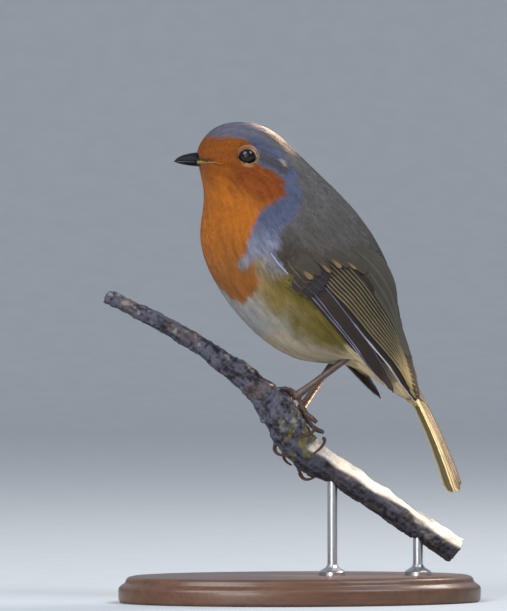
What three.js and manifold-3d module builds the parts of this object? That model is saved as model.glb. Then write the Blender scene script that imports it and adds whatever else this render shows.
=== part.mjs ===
// A life-size European robin, standing on a cut length of twig, on a display stand.
// Millimetres, +Z up. The bird faces -X and its left side faces -Y.
// The origin is the middle of the underside of the stand's base.

import * as THREE from 'three';
import { mergeVertices } from 'three/addons/utils/BufferGeometryUtils.js';
import Module from 'manifold-3d';

const wasm = await Module();
wasm.setup();

// ---------------------------------------------------------------- driving dimensions

const GAP = 0.3; // clearance between pieces that meet

// Body sections from the bill to the end of the tail coverts:
// back point (x, z), belly point (x, z), half width.
const BODY_SECTIONS = [
  { back: [-31.7, 134.9], belly: [-31.1, 130.6], half: 2.7 },
  { back: [-30.0, 138.0], belly: [-30.4, 128.2], half: 4.7 },
  { back: [-26.6, 141.2], belly: [-29.7, 124.6], half: 6.9 },
  { back: [-21.0, 143.6], belly: [-29.4, 120.4], half: 8.5 },
  { back: [-13.5, 144.0], belly: [-29.9, 115.4], half: 9.5 },
  { back: [-6.6, 140.6], belly: [-30.5, 109.8], half: 11.6 },
  { back: [-1.0, 135.2], belly: [-29.3, 103.2], half: 15.4 },
  { back: [8.8, 126.0], belly: [-24.6, 93.6], half: 19.8 },
  { back: [18.3, 115.8], belly: [-17.2, 84.0], half: 21.6 },
  { back: [25.6, 104.2], belly: [-8.0, 76.0], half: 20.6 },
  { back: [29.2, 92.0], belly: [2.4, 71.6], half: 17.2 },
  { back: [30.4, 81.4], belly: [14.0, 71.2], half: 12.6 },
  { back: [33.2, 73.0], belly: [22.6, 66.2], half: 8.4 },
  { back: [36.6, 63.2], belly: [31.6, 60.2], half: 5.0 },
];

// Thin cuts that part the head from the neck and the neck from the trunk.
const HEAD_CUT = { throat: [-40.0, 116.1], nape: [6.0, 143.6] };
const NECK_CUT = { breast: [-40.0, 99.6], back: [22.0, 131.6] };

// The surface that the folded wings lie on: the flanks, carried on past the rump.
const WING_SECTIONS = [
  { back: [0.9, 132.9], belly: [-30.4, 111.6], half: 14.8 },
  { back: [12.0, 121.2], belly: [-28.3, 100.2], half: 18.6 },
  { back: [18.6, 113.4], belly: [-25.1, 94.8], half: 20.4 },
  { back: [23.2, 105.0], belly: [-20.6, 88.5], half: 21.0 },
  { back: [26.2, 97.0], belly: [-15.2, 81.9], half: 20.2 },
  { back: [27.4, 89.8], belly: [-8.5, 75.6], half: 18.0 },
  { back: [28.4, 83.0], belly: [-0.6, 70.2], half: 14.6 },
  { back: [30.8, 75.8], belly: [7.9, 65.1], half: 11.2 },
  { back: [34.6, 68.4], belly: [15.8, 59.1], half: 9.2 },
  { back: [39.6, 61.0], belly: [23.6, 52.2], half: 8.2 },
  { back: [44.0, 52.8], belly: [30.9, 45.0], half: 7.8 },
];

// Folded wing panels in side view, (x, z) from the bend of the wing to the tips.
const WING_PANELS = {
  coverts: {
    lower: [[-12.0, 104.8], [-8.4, 99.8], [-4.2, 94.6]],
    upper: [[-11.4, 106.6], [0.0, 103.8], [12.8, 100.0]],
    thickness: 2.0, feathers: 3, along: 6, across: 6,
  },
  secondaries: {
    lower: [[-2.6, 93.8], [9.4, 84.9], [21.4, 73.0], [26.8, 69.2], [31.4, 62.8], [35.6, 56.2]],
    upper: [[13.7, 99.2], [22.4, 94.0], [28.9, 86.0], [31.2, 78.0], [34.2, 68.6], [36.8, 59.2]],
    thickness: 1.7, feathers: 5, along: 8, across: 10,
  },
  primaries: {
    lower: [[-2.8, 92.8], [0.9, 88.4], [9.2, 78.4], [18.0, 70.8], [26.2, 63.4]],
    upper: [[-2.2, 93.4], [6.4, 86.6], [14.6, 79.2], [21.0, 72.8], [26.8, 64.2]],
    thickness: 1.1, feathers: 2, along: 8, across: 4, droops: true,
  },
};
const RIGHT_WING_DROOP = 0.05; // radians that the right wing's primaries hang lower
const WING_BEND = { x: -12.0, z: 105.3 };

const BILL = {
  baseX: -29.9, tipX: -38.1, commissureZ: 132.15, halfWidth: 2.5, upperHeight: 2.1, lowerHeight: 1.75,
};

const EYE = { x: -16.9, z: 133.6, depth: 7.0, radius: 3.1 };

const TAIL = {
  base: { x: 31.6, z: 66.8 }, tip: { x: 47.2, z: 33.1 },
  halfAtBase: 3.4, halfAtTip: 8.2, roof: 2.0, bow: 1.3, thickness: 1.1,
};

// Centre line of the twig, (x, y, z), from its broken end to its sawn end.
const TWIG_LINE = [
  [-58.2, 3.0, 91.8], [-45.3, 2.0, 85.6], [-30.3, 1.0, 77.1], [-21.2, 0.4, 70.5], [-11.6, 0, 63.0],
  [-6.0, 0, 57.4], [-2.9, 0, 51.0], [1.5, 0, 45.2], [8.6, 0, 40.8], [15.0, -0.4, 36.6],
  [30.3, -1.6, 26.1], [47.0, -3.0, 15.2],
];
// Radius at distances along the twig.
const TWIG_RADII = [
  [0, 2.2], [15, 2.5], [32, 2.8], [44, 3.4], [55, 4.1], [63, 5.2], [70, 5.7], [76, 5.3], [88, 4.3],
  [112, 4.1], [135, 4.2],
];

// Feet: the top of the shank in the belly feathers, then places on the twig as a distance
// along it and an angle round it. Each front toe fans out as it wraps the twig, and each claw
// hooks on from the end of its toe.
const FEET = {
  left: {
    shankTop: [14.8, -7.6, 74.4], ankle: [62.3, 25], wrapFrom: -50,
    toesFrom: [58.2, 60.5, 62.8], toesTo: [[54.6, -110], [58.8, -114], [63.0, -118]],
    claws: { run: 1.2, turn: -18 },
    hallux: [[66.5, 20], [71.8, 12]], hindClaw: [[72.9, 16], [72.2, 88]],
  },
  right: {
    shankTop: [12.7, 7.4, 74.0], ankle: [65.3, -32], wrapFrom: -56,
    toesFrom: [66.4, 69.5, 73.2], toesTo: [[71.6, -150], [73.8, -120], [80.0, -142]],
    claws: { run: 3.4, turn: -66 },
    hallux: [[73.0, -14], [78.5, 0]], hindClaw: [[80.2, 4], [79.2, 84]],
  },
};
const SHANK_RADIUS = 1.05;
const ANKLE_RADIUS = 1.5;
const TOE_RADIUS = 0.85;
const FOOT_REACH = 5.4; // how far the roots of the toes belong to the foot
const CLAW_TIP_RADIUS = 0.16;

const STAND = { length: 110, width: 68, thickness: 8, rodRadius: 1.5, collarRadius: 4, socket: 2.6 };
const ROD_PLACES = [{ name: 'stand_rod_front', along: 90 }, { name: 'stand_rod_rear', along: 121 }];

// ---------------------------------------------------------------- colours

const COLOURS = {
  orange: 0xb8601f, olive: 0x5d5648, grey: 0x8d8f8f, wing: 0x4f463a, tail: 0x6a5a42,
  horn: 0x23232a, eye: 0x0a0808, leg: 0x54392c, claw: 0x3a2c25, bark: 0x4a4442,
  wood: 0x4b3324, steel: 0xb9babd,
};

function material(name, roughness = 0.8, metalness = 0) {
  return new THREE.MeshStandardMaterial({ color: COLOURS[name], roughness, metalness });
}

// ---------------------------------------------------------------- shape helpers

const mix = THREE.MathUtils.lerp;
const radians = THREE.MathUtils.degToRad;

// A curve in the XZ plane through (x, z) points.
function profile(points) {
  return new THREE.CatmullRomCurve3(points.map(([x, z]) => new THREE.Vector3(x, 0, z)));
}

// A value read off a rising list of [place, value] pairs, eased between them.
function along(pairs, place) {
  const last = pairs.length - 1;
  const found = pairs.findIndex(([at]) => at > place);
  const high = found < 0 ? last : Math.max(found, 1);
  const [from, a] = pairs[high - 1];
  const [to, b] = pairs[high];
  return mix(a, b, THREE.MathUtils.smoothstep(place, from, to));
}

// A closed geometry whose vertices are all sent through shape(x, y, z).
function mapped(source, shape) {
  source.deleteAttribute('normal');
  source.deleteAttribute('uv');
  const place = source.getAttribute('position');
  for (let i = 0; i < place.count; i += 1) {
    const point = shape(place.getX(i), place.getY(i), place.getZ(i));
    place.setXYZ(i, point.x, point.y, point.z);
  }
  return facingOut(mergeVertices(source, 1e-4));
}

function signedVolume(geometry) {
  const place = geometry.getAttribute('position');
  const index = geometry.getIndex();
  const corner = [new THREE.Vector3(), new THREE.Vector3(), new THREE.Vector3()];
  let volume = 0;
  for (let i = 0; i < index.count; i += 3) {
    corner.forEach((vertex, k) => vertex.fromBufferAttribute(place, index.getX(i + k)));
    volume += corner[0].dot(corner[1].clone().cross(corner[2])) / 6;
  }
  return volume;
}

// The same geometry with its faces turned outwards.
function facingOut(geometry) {
  if (signedVolume(geometry) > 0) return geometry;
  const index = geometry.getIndex();
  for (let i = 0; i < index.count; i += 3) {
    const first = index.getX(i);
    index.setX(i, index.getX(i + 1));
    index.setX(i + 1, first);
  }
  return geometry;
}

function toSolid(geometry) {
  const source = geometry.clone();
  source.deleteAttribute('normal');
  source.deleteAttribute('uv');
  const merged = facingOut(mergeVertices(source, 1e-4));
  return new wasm.Manifold(new wasm.Mesh({
    numProp: 3,
    vertProperties: new Float32Array(merged.getAttribute('position').array),
    triVerts: new Uint32Array(merged.getIndex().array),
  }));
}

function toGeometry(solid) {
  const mesh = solid.getMesh();
  const geometry = new THREE.BufferGeometry();
  geometry.setAttribute('position', new THREE.BufferAttribute(mesh.vertProperties, 3));
  geometry.setIndex(new THREE.BufferAttribute(mesh.triVerts, 1));
  return geometry;
}

// A limb along a curve: a cylinder whose radius follows radiusAt(t), with t from 0 to 1.
function limb(curve, radiusAt, steps, sides) {
  const side = new THREE.Vector3(0, 1, 0);
  return mapped(new THREE.CylinderGeometry(1, 1, 1, sides, steps), (x, y, z) => {
    const t = y + 0.5;
    const tangent = curve.getTangentAt(t);
    const across = tangent.clone().cross(side).normalize();
    const other = tangent.clone().cross(across);
    const radius = radiusAt(t);
    return curve.getPointAt(t).addScaledVector(across, x * radius).addScaledVector(other, z * radius);
  });
}

// A curved plate: shape(u, v, w) with u along, v across and w through it, each from 0 to 1.
function plate(alongSteps, acrossSteps, shape) {
  return mapped(new THREE.BoxGeometry(1, 1, 1, alongSteps, acrossSteps, 1), (x, y, z) => (
    shape(x + 0.5, y + 0.5, z + 0.5)
  ));
}

function ball(radius, x, y, z, detail = 11) {
  return new THREE.SphereGeometry(radius, detail, detail * 0.6).translate(x, y, z);
}

// ---------------------------------------------------------------- body surface

// A surface through oval sections. s runs from 0 to 1 over the sections, and angle turns
// round a section: 0 at the side, a quarter turn at the back and minus that at the belly.
// side is -1 for the bird's left and +1 for its right.
function ovalSurface(sections) {
  const back = profile(sections.map((section) => section.back));
  const belly = profile(sections.map((section) => section.belly));
  const halfWidths = new THREE.SplineCurve(sections.map(({ half }, i) => new THREE.Vector2(i, half)));

  function sectionAt(s) {
    const top = back.getPoint(s);
    const bottom = belly.getPoint(s);
    const centre = top.clone().add(bottom).multiplyScalar(0.5);
    return { top, bottom, centre, half: halfWidths.getPoint(s).y };
  }

  function point(s, angle, side) {
    const { top, centre, half } = sectionAt(THREE.MathUtils.clamp(s, 0, 1));
    const upward = top.sub(centre).multiplyScalar(Math.sin(angle));
    return centre.add(upward).add(new THREE.Vector3(0, side * half * Math.cos(angle), 0));
  }

  // The section and angle whose surface point lies at (x, z) in side view. limit keeps the
  // point off the very middle of the back, where it is 1.
  function locate(x, z, limit) {
    const turn = (s) => {
      const { top, bottom } = sectionAt(s);
      return (top.x - bottom.x) * (z - bottom.z) - (top.z - bottom.z) * (x - bottom.x);
    };
    let low = 0;
    let high = 1;
    for (let i = 0; i < 24; i += 1) {
      const middle = (low + high) / 2;
      if (turn(middle) < 0) low = middle;
      else high = middle;
    }
    const { top, centre } = sectionAt(low);
    const reach = top.clone().sub(centre);
    const offset = (x - centre.x) * reach.x + (z - centre.z) * reach.z;
    const height = THREE.MathUtils.clamp(offset / reach.lengthSq(), -limit, limit);
    return { s: low, angle: Math.asin(height) };
  }

  function normal(s, angle, side) {
    const step = 0.004;
    const lengthwise = point(s + step, angle, side).sub(point(s - step, angle, side));
    const round = point(s, angle + step, side).sub(point(s, angle - step, side));
    const out = lengthwise.cross(round).normalize();
    const outward = point(s, angle, side).sub(sectionAt(s).centre);
    return out.dot(outward) < 0 ? out.negate() : out;
  }

  return { sectionAt, point, locate, normal };
}

const body = ovalSurface(BODY_SECTIONS);
const flank = ovalSurface(WING_SECTIONS);

function wholeBody() {
  const around = 26;
  const rows = 22;
  return mapped(new THREE.SphereGeometry(1, around, rows), (x, y, z) => {
    const row = Math.round((Math.acos(THREE.MathUtils.clamp(y, -1, 1)) / Math.PI) * rows);
    if (row === 0) return body.sectionAt(0).centre.add(new THREE.Vector3(-0.4, 0, 0));
    if (row === rows) return body.sectionAt(1).centre.add(new THREE.Vector3(0.4, 0, -1.2));
    return body.point((row - 1) / (rows - 2), Math.atan2(z, x), 1);
  });
}

// A thin slab across the body, through two (x, z) points, that parts it in two.
function thinCut([x0, z0], [x1, z1]) {
  const length = Math.hypot(x1 - x0, z1 - z0);
  return toSolid(new THREE.BoxGeometry(length, 80, GAP)
    .rotateY(-Math.atan2(z1 - z0, x1 - x0))
    .translate((x0 + x1) / 2, 0, (z0 + z1) / 2));
}

// ---------------------------------------------------------------- wings

function turnAboutBend([x, z], angle) {
  const dx = x - WING_BEND.x;
  const dz = z - WING_BEND.z;
  return [
    WING_BEND.x + dx * Math.cos(angle) + dz * Math.sin(angle),
    WING_BEND.z - dx * Math.sin(angle) + dz * Math.cos(angle),
  ];
}

// One panel of a folded wing. grow makes it bigger all round, for cutting its seat in the body.
function wingPanel(side, panel, grow = 0) {
  const droop = side > 0 && panel.droops ? RIGHT_WING_DROOP : 0;
  const lower = profile(panel.lower.map((place) => turnAboutBend(place, droop)));
  const upper = profile(panel.upper.map((place) => turnAboutBend(place, droop)));
  return plate(panel.along, panel.across, (u, v, w) => {
    const low = lower.getPoint(u);
    const high = upper.getPoint(u);
    const height = high.distanceTo(low);
    const edge = mix(-grow / height, 1 + grow / height, v);
    const place = low.lerp(high, edge);
    const { s, angle } = flank.locate(place.x, place.z, grow > 0 ? 0.998 : 0.985);
    const shingle = 0.3 * (1 - ((v * panel.feathers) % 1));
    const outside = grow > 0 ? 4 : panel.thickness * mix(1, 0.7, u) * mix(1, 0.7, v) + shingle;
    const lift = w > 0.5 ? outside : -grow;
    return flank.point(s, angle, side).addScaledVector(flank.normal(s, angle, side), lift);
  });
}

// ---------------------------------------------------------------- tail

// A fan of tail feathers between two places across the tail, from -1 to 1.
function tailPanel(from, to, grow = 0) {
  const start = new THREE.Vector3(TAIL.base.x, 0, TAIL.base.z);
  const end = new THREE.Vector3(TAIL.tip.x, 0, TAIL.tip.z);
  const run = end.clone().sub(start);
  const dorsal = new THREE.Vector3(-run.z, 0, run.x).normalize();
  return plate(5, 3, (u, v, w) => {
    const place = mix(from, to, v);
    const half = mix(TAIL.halfAtBase, TAIL.halfAtTip, Math.sqrt(u)) + grow;
    const notch = 1.6 * Math.abs(place) - 1.1 * (2 * v - 1) ** 2;
    const rise = TAIL.roof * (0.5 - Math.abs(place) ** 1.5) + TAIL.bow * Math.sin(u * Math.PI);
    const depth = (w - 0.5) * (TAIL.thickness + 2 * grow) * mix(1.3, 0.8, u);
    return start.clone()
      .addScaledVector(run, u)
      .addScaledVector(run.clone().normalize(), notch * u)
      .addScaledVector(dorsal, rise + depth)
      .add(new THREE.Vector3(0, place * half, 0));
  });
}

// ---------------------------------------------------------------- bill and eyes

// One half of the bill: up is +1 for the upper half and -1 for the lower.
function billHalf(up, grow = 0) {
  const height = up > 0 ? BILL.upperHeight : BILL.lowerHeight;
  const length = up > 0 ? 1 : 0.93;
  return mapped(new THREE.CylinderGeometry(1, 1, 1, 10, 7), (x, y, z) => {
    const t = (y + 0.5) * length;
    const taper = (1 - t) ** 0.62 * (1 - 0.18 * t) + 0.035;
    const half = BILL.halfWidth * (1 - t) ** 0.8 + 0.16 + grow;
    const middle = Math.hypot(x, z) < 0.5 ? 0.4 : 0; // the centres of the two end faces
    const rise = Math.max(up * z, middle, 0) * (height * taper + 2.6 * grow);
    const hook = up > 0 ? -0.3 * THREE.MathUtils.smoothstep(t, 0.94, 1) : 0;
    const split = up * (grow > 0 ? -grow : GAP / 2);
    return new THREE.Vector3(
      mix(BILL.baseX + grow, BILL.tipX, t),
      x * half,
      BILL.commissureZ + hook + split + up * rise,
    );
  });
}

// ---------------------------------------------------------------- twig

const twigLine = new THREE.CatmullRomCurve3(TWIG_LINE.map(([x, y, z]) => new THREE.Vector3(x, y, z)));
const twigLength = twigLine.getLength();

function bump(place, centre, width) {
  return Math.exp(-(((place - centre) / width) ** 2));
}

function twigRadius(s, angle) {
  const bark = 0.16 * Math.sin(3 * angle + s * 0.42) + 0.1 * Math.sin(5 * angle - s * 0.9);
  const spur = 1.5 * bump(s, 61, 4.5) * bump(Math.cos(angle), -1, 0.7);
  const collar = 0.9 * bump(s, 82, 3.4) * bump(Math.cos(angle), -1, 0.9);
  const scar = 0.8 * bump(s, 47, 2.2) * bump(Math.cos(angle), 1, 0.6);
  return along(TWIG_RADII, s) + bark + spur + collar + scar;
}

// A point at a distance along the twig, an angle round it and a lift above its surface.
// 0 degrees is the upper side, 90 the bird's left and -90 its right.
function onTwig(s, degrees, lift, flat = false) {
  const angle = radians(degrees);
  const t = THREE.MathUtils.clamp(s / twigLength, 0, 1);
  const tangent = twigLine.getTangentAt(t);
  const upward = new THREE.Vector3(-tangent.z, 0, tangent.x).normalize();
  const radius = flat ? lift : twigRadius(s, angle) + lift;
  return twigLine.getPointAt(t)
    .addScaledVector(upward, radius * Math.cos(angle))
    .add(new THREE.Vector3(0, -radius * Math.sin(angle), 0));
}

function twig() {
  return mapped(new THREE.CylinderGeometry(1, 1, 1, 10, 32), (x, y, z) => {
    const s = (y + 0.5) * twigLength;
    const degrees = THREE.MathUtils.radToDeg(Math.atan2(z, x));
    return Math.hypot(x, z) < 0.5 ? onTwig(s, 0, 0, true) : onTwig(s, degrees, 0);
  });
}

// ---------------------------------------------------------------- feet

function through(points) {
  return new THREE.CatmullRomCurve3(points);
}

function anklePlace(foot) {
  return onTwig(...foot.ankle, ANKLE_RADIUS + GAP + 0.1);
}

function shank(foot, grow = 0) {
  const line = new THREE.LineCurve3(new THREE.Vector3(...foot.shankTop), anklePlace(foot));
  return limb(line, (t) => SHANK_RADIUS + 0.35 * bump(t, 1, 0.14) + grow, 6, 8);
}

// A toe's pads swell gently between its joints.
function toeRadius(t) {
  return TOE_RADIUS * (0.9 + 0.12 * Math.abs(Math.cos(t * Math.PI * 2.5)));
}

function clawRadius(t) {
  return mix(TOE_RADIUS * 0.72, CLAW_TIP_RADIUS, t ** 0.8);
}

// A front toe: from the ankle over the twig and down round its far side.
function frontToe(foot, index) {
  const lift = TOE_RADIUS + GAP + 0.1;
  const [at, angle] = foot.ankle;
  const [end, endAngle] = foot.toesTo[index];
  const turns = [0, 0.25, 0.5, 0.75, 1].map((t) => (
    onTwig(mix(foot.toesFrom[index], end, t), mix(foot.wrapFrom, endAngle, t), lift)
  ));
  const place = mix(at, foot.toesFrom[1], 0.5) + 0.5 * (foot.toesFrom[index] - foot.toesFrom[1]);
  const knuckle = onTwig(place, mix(angle, foot.wrapFrom, 0.5), lift + 0.2);
  return limb(through([anklePlace(foot), knuckle, ...turns]), toeRadius, 8, 6);
}

function frontClaw(foot, index) {
  const [start, endAngle] = foot.toesTo[index];
  const startAngle = endAngle - 7; // clear of the end of the toe
  const { run, turn } = foot.claws;
  const turns = [0, 0.35, 0.7, 1].map((t) => {
    const lift = mix(TOE_RADIUS + GAP, GAP + 0.25, t) + 0.5 * Math.sin(t * Math.PI);
    return onTwig(start + run * t, mix(startAngle, endAngle + turn, t), lift);
  });
  return limb(through(turns), clawRadius, 4, 6);
}

// The hind toe: from the ankle down along the twig's upper side.
function hallux(foot) {
  const [[from, angleFrom], [to, angleTo]] = foot.hallux;
  const turns = [0, 0.5, 1].map((t) => {
    const lift = TOE_RADIUS + GAP + 0.4 + 1.2 * t;
    return onTwig(mix(from, to, t), mix(angleFrom, angleTo, t), lift);
  });
  return limb(through([anklePlace(foot), ...turns]), toeRadius, 5, 6);
}

function hindClaw(foot) {
  const [[from, angleFrom], [to, angleTo]] = foot.hindClaw;
  const turns = [0, 0.35, 0.7, 1].map((t) => {
    const arch = Math.sin(t * Math.PI);
    const lift = mix(TOE_RADIUS + GAP + 0.3, GAP + 0.25, t) + 0.8 * arch;
    return onTwig(mix(from, to, t) + arch, mix(angleFrom, angleTo, t), lift);
  });
  return limb(through(turns), clawRadius, 4, 6);
}

// ---------------------------------------------------------------- stand

function standBase() {
  const { length, width, thickness } = STAND;
  const edge = [[0, 0], [0.98, 0], [1, 0.15], [1, 0.55], [0.96, 0.75], [0.93, 1], [0, 1]];
  const points = edge.map(([r, z]) => new THREE.Vector2(r, z * thickness));
  return new THREE.LatheGeometry(points, 30)
    .rotateX(Math.PI / 2)
    .scale(length / 2, width / 2, 1);
}

function standRod(place, grow = 0) {
  const seat = onTwig(place.along, 180, 0);
  const top = seat.z + STAND.socket + grow;
  const bottom = STAND.thickness;
  const { rodRadius, collarRadius } = STAND;
  const outline = [
    [0, bottom], [collarRadius, bottom], [collarRadius, bottom + 1.2], [rodRadius + 0.6, bottom + 2.4],
    [rodRadius + grow, bottom + 3], [rodRadius + grow, top], [0, top],
  ];
  return new THREE.LatheGeometry(outline.map(([r, z]) => new THREE.Vector2(r, z)), 12)
    .rotateX(Math.PI / 2)
    .translate(seat.x, seat.y, 0);
}

// ---------------------------------------------------------------- assembly

const robin = new THREE.Group();

function add(name, shape, look) {
  const geometry = shape instanceof THREE.BufferGeometry ? shape : toGeometry(shape);
  const mesh = new THREE.Mesh(geometry, look);
  mesh.name = name;
  robin.add(mesh);
}

const SIDES = { left: -1, right: 1 };

// Flesh: one body with seats for the wings, tail, legs, bill and eyes, parted by thin cuts.
let flesh = toSolid(wholeBody());
for (const side of Object.values(SIDES)) {
  for (const panel of Object.values(WING_PANELS)) {
    flesh = flesh.subtract(toSolid(wingPanel(side, panel, 1.5 * GAP)));
  }
  flesh = flesh.subtract(toSolid(ball(EYE.radius + GAP, EYE.x, side * EYE.depth, EYE.z)));
}
for (const foot of Object.values(FEET)) {
  flesh = flesh.subtract(toSolid(shank(foot, GAP)));
}
flesh = flesh
  .subtract(toSolid(tailPanel(-1, 1, GAP)))
  .subtract(toSolid(billHalf(1, GAP)))
  .subtract(toSolid(billHalf(-1, GAP)))
  .subtract(thinCut(HEAD_CUT.throat, HEAD_CUT.nape))
  .subtract(thinCut(NECK_CUT.breast, NECK_CUT.back));
const pieces = flesh.decompose().sort((a, b) => b.volume() - a.volume());
const [trunk, ...upper] = pieces.slice(0, 3);
const [neck, head] = upper.sort((a, b) => a.boundingBox().max[2] - b.boundingBox().max[2]);
add('head', head, material('orange'));
add('neck', neck, material('grey'));
add('trunk', trunk, material('olive'));

add('bill_upper', billHalf(1), material('horn', 0.35));
add('bill_lower', billHalf(-1), material('horn', 0.35));

for (const [name, side] of Object.entries(SIDES)) {
  add(`eye_${name}`, ball(EYE.radius, EYE.x, side * EYE.depth, EYE.z), material('eye', 0.05));
  for (const [panelName, panel] of Object.entries(WING_PANELS)) {
    add(`wing_${name}_${panelName}`, wingPanel(side, panel), material('wing'));
  }
}

const split = 0.36;
const slit = GAP / 2 / TAIL.halfAtBase;
add('tail_left', tailPanel(-1, -split - slit), material('tail'));
add('tail_centre', tailPanel(-split + slit, split - slit), material('tail'));
add('tail_right', tailPanel(split + slit, 1), material('tail'));

// A foot: the shank carries the roots of all four toes, and each toe goes on from there.
const TOE_NAMES = ['inner', 'middle', 'outer'];
for (const [name, foot] of Object.entries(FEET)) {
  const ankle = anklePlace(foot);
  const root = toSolid(ball(FOOT_REACH, ankle.x, ankle.y, ankle.z));
  const seat = toSolid(ball(FOOT_REACH + GAP, ankle.x, ankle.y, ankle.z));
  const toes = { hind: toSolid(hallux(foot)) };
  TOE_NAMES.forEach((toe, index) => {
    toes[toe] = toSolid(frontToe(foot, index));
    add(`claw_${name}_${toe}`, frontClaw(foot, index), material('claw', 0.4));
  });
  add(`claw_${name}_hind`, hindClaw(foot), material('claw', 0.4));
  let leg = toSolid(shank(foot)).add(toSolid(ball(ANKLE_RADIUS, ankle.x, ankle.y, ankle.z, 10)));
  for (const [toe, solid] of Object.entries(toes)) {
    leg = leg.add(solid.intersect(root));
    add(`toe_${name}_${toe}`, solid.subtract(seat), material('leg', 0.5));
  }
  add(`leg_${name}`, leg, material('leg', 0.5));
}

let perch = toSolid(twig());
for (const place of ROD_PLACES) {
  perch = perch.subtract(toSolid(standRod(place, GAP)));
  add(place.name, standRod(place), material('steel', 0.3, 1));
}
add('perch', perch, material('bark', 0.9));
add('stand_base', standBase(), material('wood', 0.45));

export default robin;
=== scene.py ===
# %% [markdown]
# # A European robin on a cut twig
# This model is a life-size robin as a museum would show it. It has a skin, thousands of small
# feathers, long wing and tail feathers, a bill, eyes and feet, and it grips a short length of twig
# that a plain stand holds up.
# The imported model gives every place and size. It could be subdivided and painted as it is, but
# feathers need real edges to catch the light, so each solid is dressed or replaced by finer pieces.

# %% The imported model
import math

import bpy
import numpy as np
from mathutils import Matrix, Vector
from mathutils.bvhtree import BVHTree


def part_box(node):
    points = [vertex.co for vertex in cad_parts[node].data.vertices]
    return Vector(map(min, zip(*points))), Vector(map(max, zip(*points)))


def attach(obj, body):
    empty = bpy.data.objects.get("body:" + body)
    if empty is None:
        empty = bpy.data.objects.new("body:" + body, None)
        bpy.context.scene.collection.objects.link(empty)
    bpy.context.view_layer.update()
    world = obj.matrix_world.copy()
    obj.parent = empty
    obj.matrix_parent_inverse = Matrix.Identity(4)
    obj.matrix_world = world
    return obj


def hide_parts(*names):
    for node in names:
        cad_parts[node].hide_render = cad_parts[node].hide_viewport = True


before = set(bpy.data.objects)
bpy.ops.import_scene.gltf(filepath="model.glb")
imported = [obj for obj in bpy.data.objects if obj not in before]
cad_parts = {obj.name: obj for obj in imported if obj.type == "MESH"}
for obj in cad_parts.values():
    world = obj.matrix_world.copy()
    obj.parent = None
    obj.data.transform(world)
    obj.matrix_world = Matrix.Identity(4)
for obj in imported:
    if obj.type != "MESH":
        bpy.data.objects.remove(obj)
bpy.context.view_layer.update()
MM = 0.001  # lengths are in millimetres until a mesh is built
print("solids in the frame:", len(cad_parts))

# %% [markdown]
# ## Reading and building meshes
# Most pieces are made of thousands of repeated parts. Adding them one by one with Blender's
# operators would take minutes. Arrays of points and faces take seconds, so every piece below is
# worked out with numpy and handed to Blender once.

# %% Arrays from the solids
def joined(shapes):
    """One pair of point and face arrays from many."""
    points, faces, total = [], [], 0
    for some_points, some_faces in shapes:
        points.append(some_points)
        faces.append(some_faces + total)
        total += len(some_points)
    return np.concatenate(points), np.concatenate(faces)


def mesh_arrays(mesh):
    """Points in millimetres and triangles of a mesh."""
    mesh.calc_loop_triangles()
    place = np.empty(len(mesh.vertices) * 3)
    mesh.vertices.foreach_get("co", place)
    corners = np.empty(len(mesh.loop_triangles) * 3, dtype=np.int64)
    mesh.loop_triangles.foreach_get("vertices", corners)
    return place.reshape(-1, 3) / MM, corners.reshape(-1, 3)


def node_arrays(*names):
    """Points in millimetres and triangles of some solids, joined."""
    return joined([mesh_arrays(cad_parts[name].data) for name in names])


def node_box(name):
    """Lowest and highest corner of a solid in millimetres."""
    low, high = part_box(name)
    return np.array(low) / MM, np.array(high) / MM


print("body solids:", *(len(a) for a in node_arrays("head", "neck", "trunk")))

# %% Pieces from arrays
def new_piece(name, points, faces, material=None, smooth=True):
    """A mesh object from points in millimetres and an array of triangles or quads."""
    mesh = bpy.data.meshes.new(name)
    corners = faces.shape[1]
    mesh.vertices.add(len(points))
    mesh.vertices.foreach_set("co", (points * MM).astype(np.float32).ravel())
    mesh.loops.add(faces.size)
    mesh.loops.foreach_set("vertex_index", faces.astype(np.int32).ravel())
    mesh.polygons.add(len(faces))
    mesh.polygons.foreach_set("loop_start", np.arange(0, faces.size, corners, dtype=np.int32))
    mesh.update(calc_edges=True)
    mesh.polygons.foreach_set("use_smooth", np.full(len(faces), smooth))
    if material:
        mesh.materials.append(material)
    piece = bpy.data.objects.new(name, mesh)
    bpy.context.collection.objects.link(piece)
    return piece


def give(piece, name, values):
    """Stores one vector or colour for each point of a piece, for its material to read."""
    kind, field = {3: ("FLOAT_VECTOR", "vector"), 4: ("FLOAT_COLOR", "color")}[values.shape[1]]
    store = piece.data.attributes.new(name, kind, "POINT")
    store.data.foreach_set(field, values.astype(np.float32).ravel())


def paint(piece, colours):
    """Stores a colour for each point, which the materials read as tint."""
    give(piece, "tint", np.column_stack([colours, np.ones(len(colours))]))


def settle(piece, *nodes, slot):
    """Lets a piece stand for some solids and ride on the model's one body."""
    if nodes:
        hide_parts(*nodes)
    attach(piece, "root")
    piece.data.calc_loop_triangles()
    print(f"{piece.name}: {len(piece.data.loop_triangles)} triangles")
    return piece


def painted_piece(name, shape, material, colours, *nodes, slot, smooth=True):
    """A settled piece with a colour stored at each of its points."""
    piece = new_piece(name, *shape, material, smooth)
    paint(piece, colours)
    return settle(piece, *nodes, slot=slot)


def reshaped(points, faces, *steps):
    """Points and triangles after some modifiers, each a kind and its settings."""
    piece = new_piece("scratch", points, faces)
    for kind, settings in steps:
        modifier = piece.modifiers.new(kind.title(), kind)
        for key, value in settings.items():
            setattr(modifier, key, value)
    arrays = mesh_arrays(piece.evaluated_get(bpy.context.evaluated_depsgraph_get()).to_mesh())
    bpy.data.objects.remove(piece)
    return arrays


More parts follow.
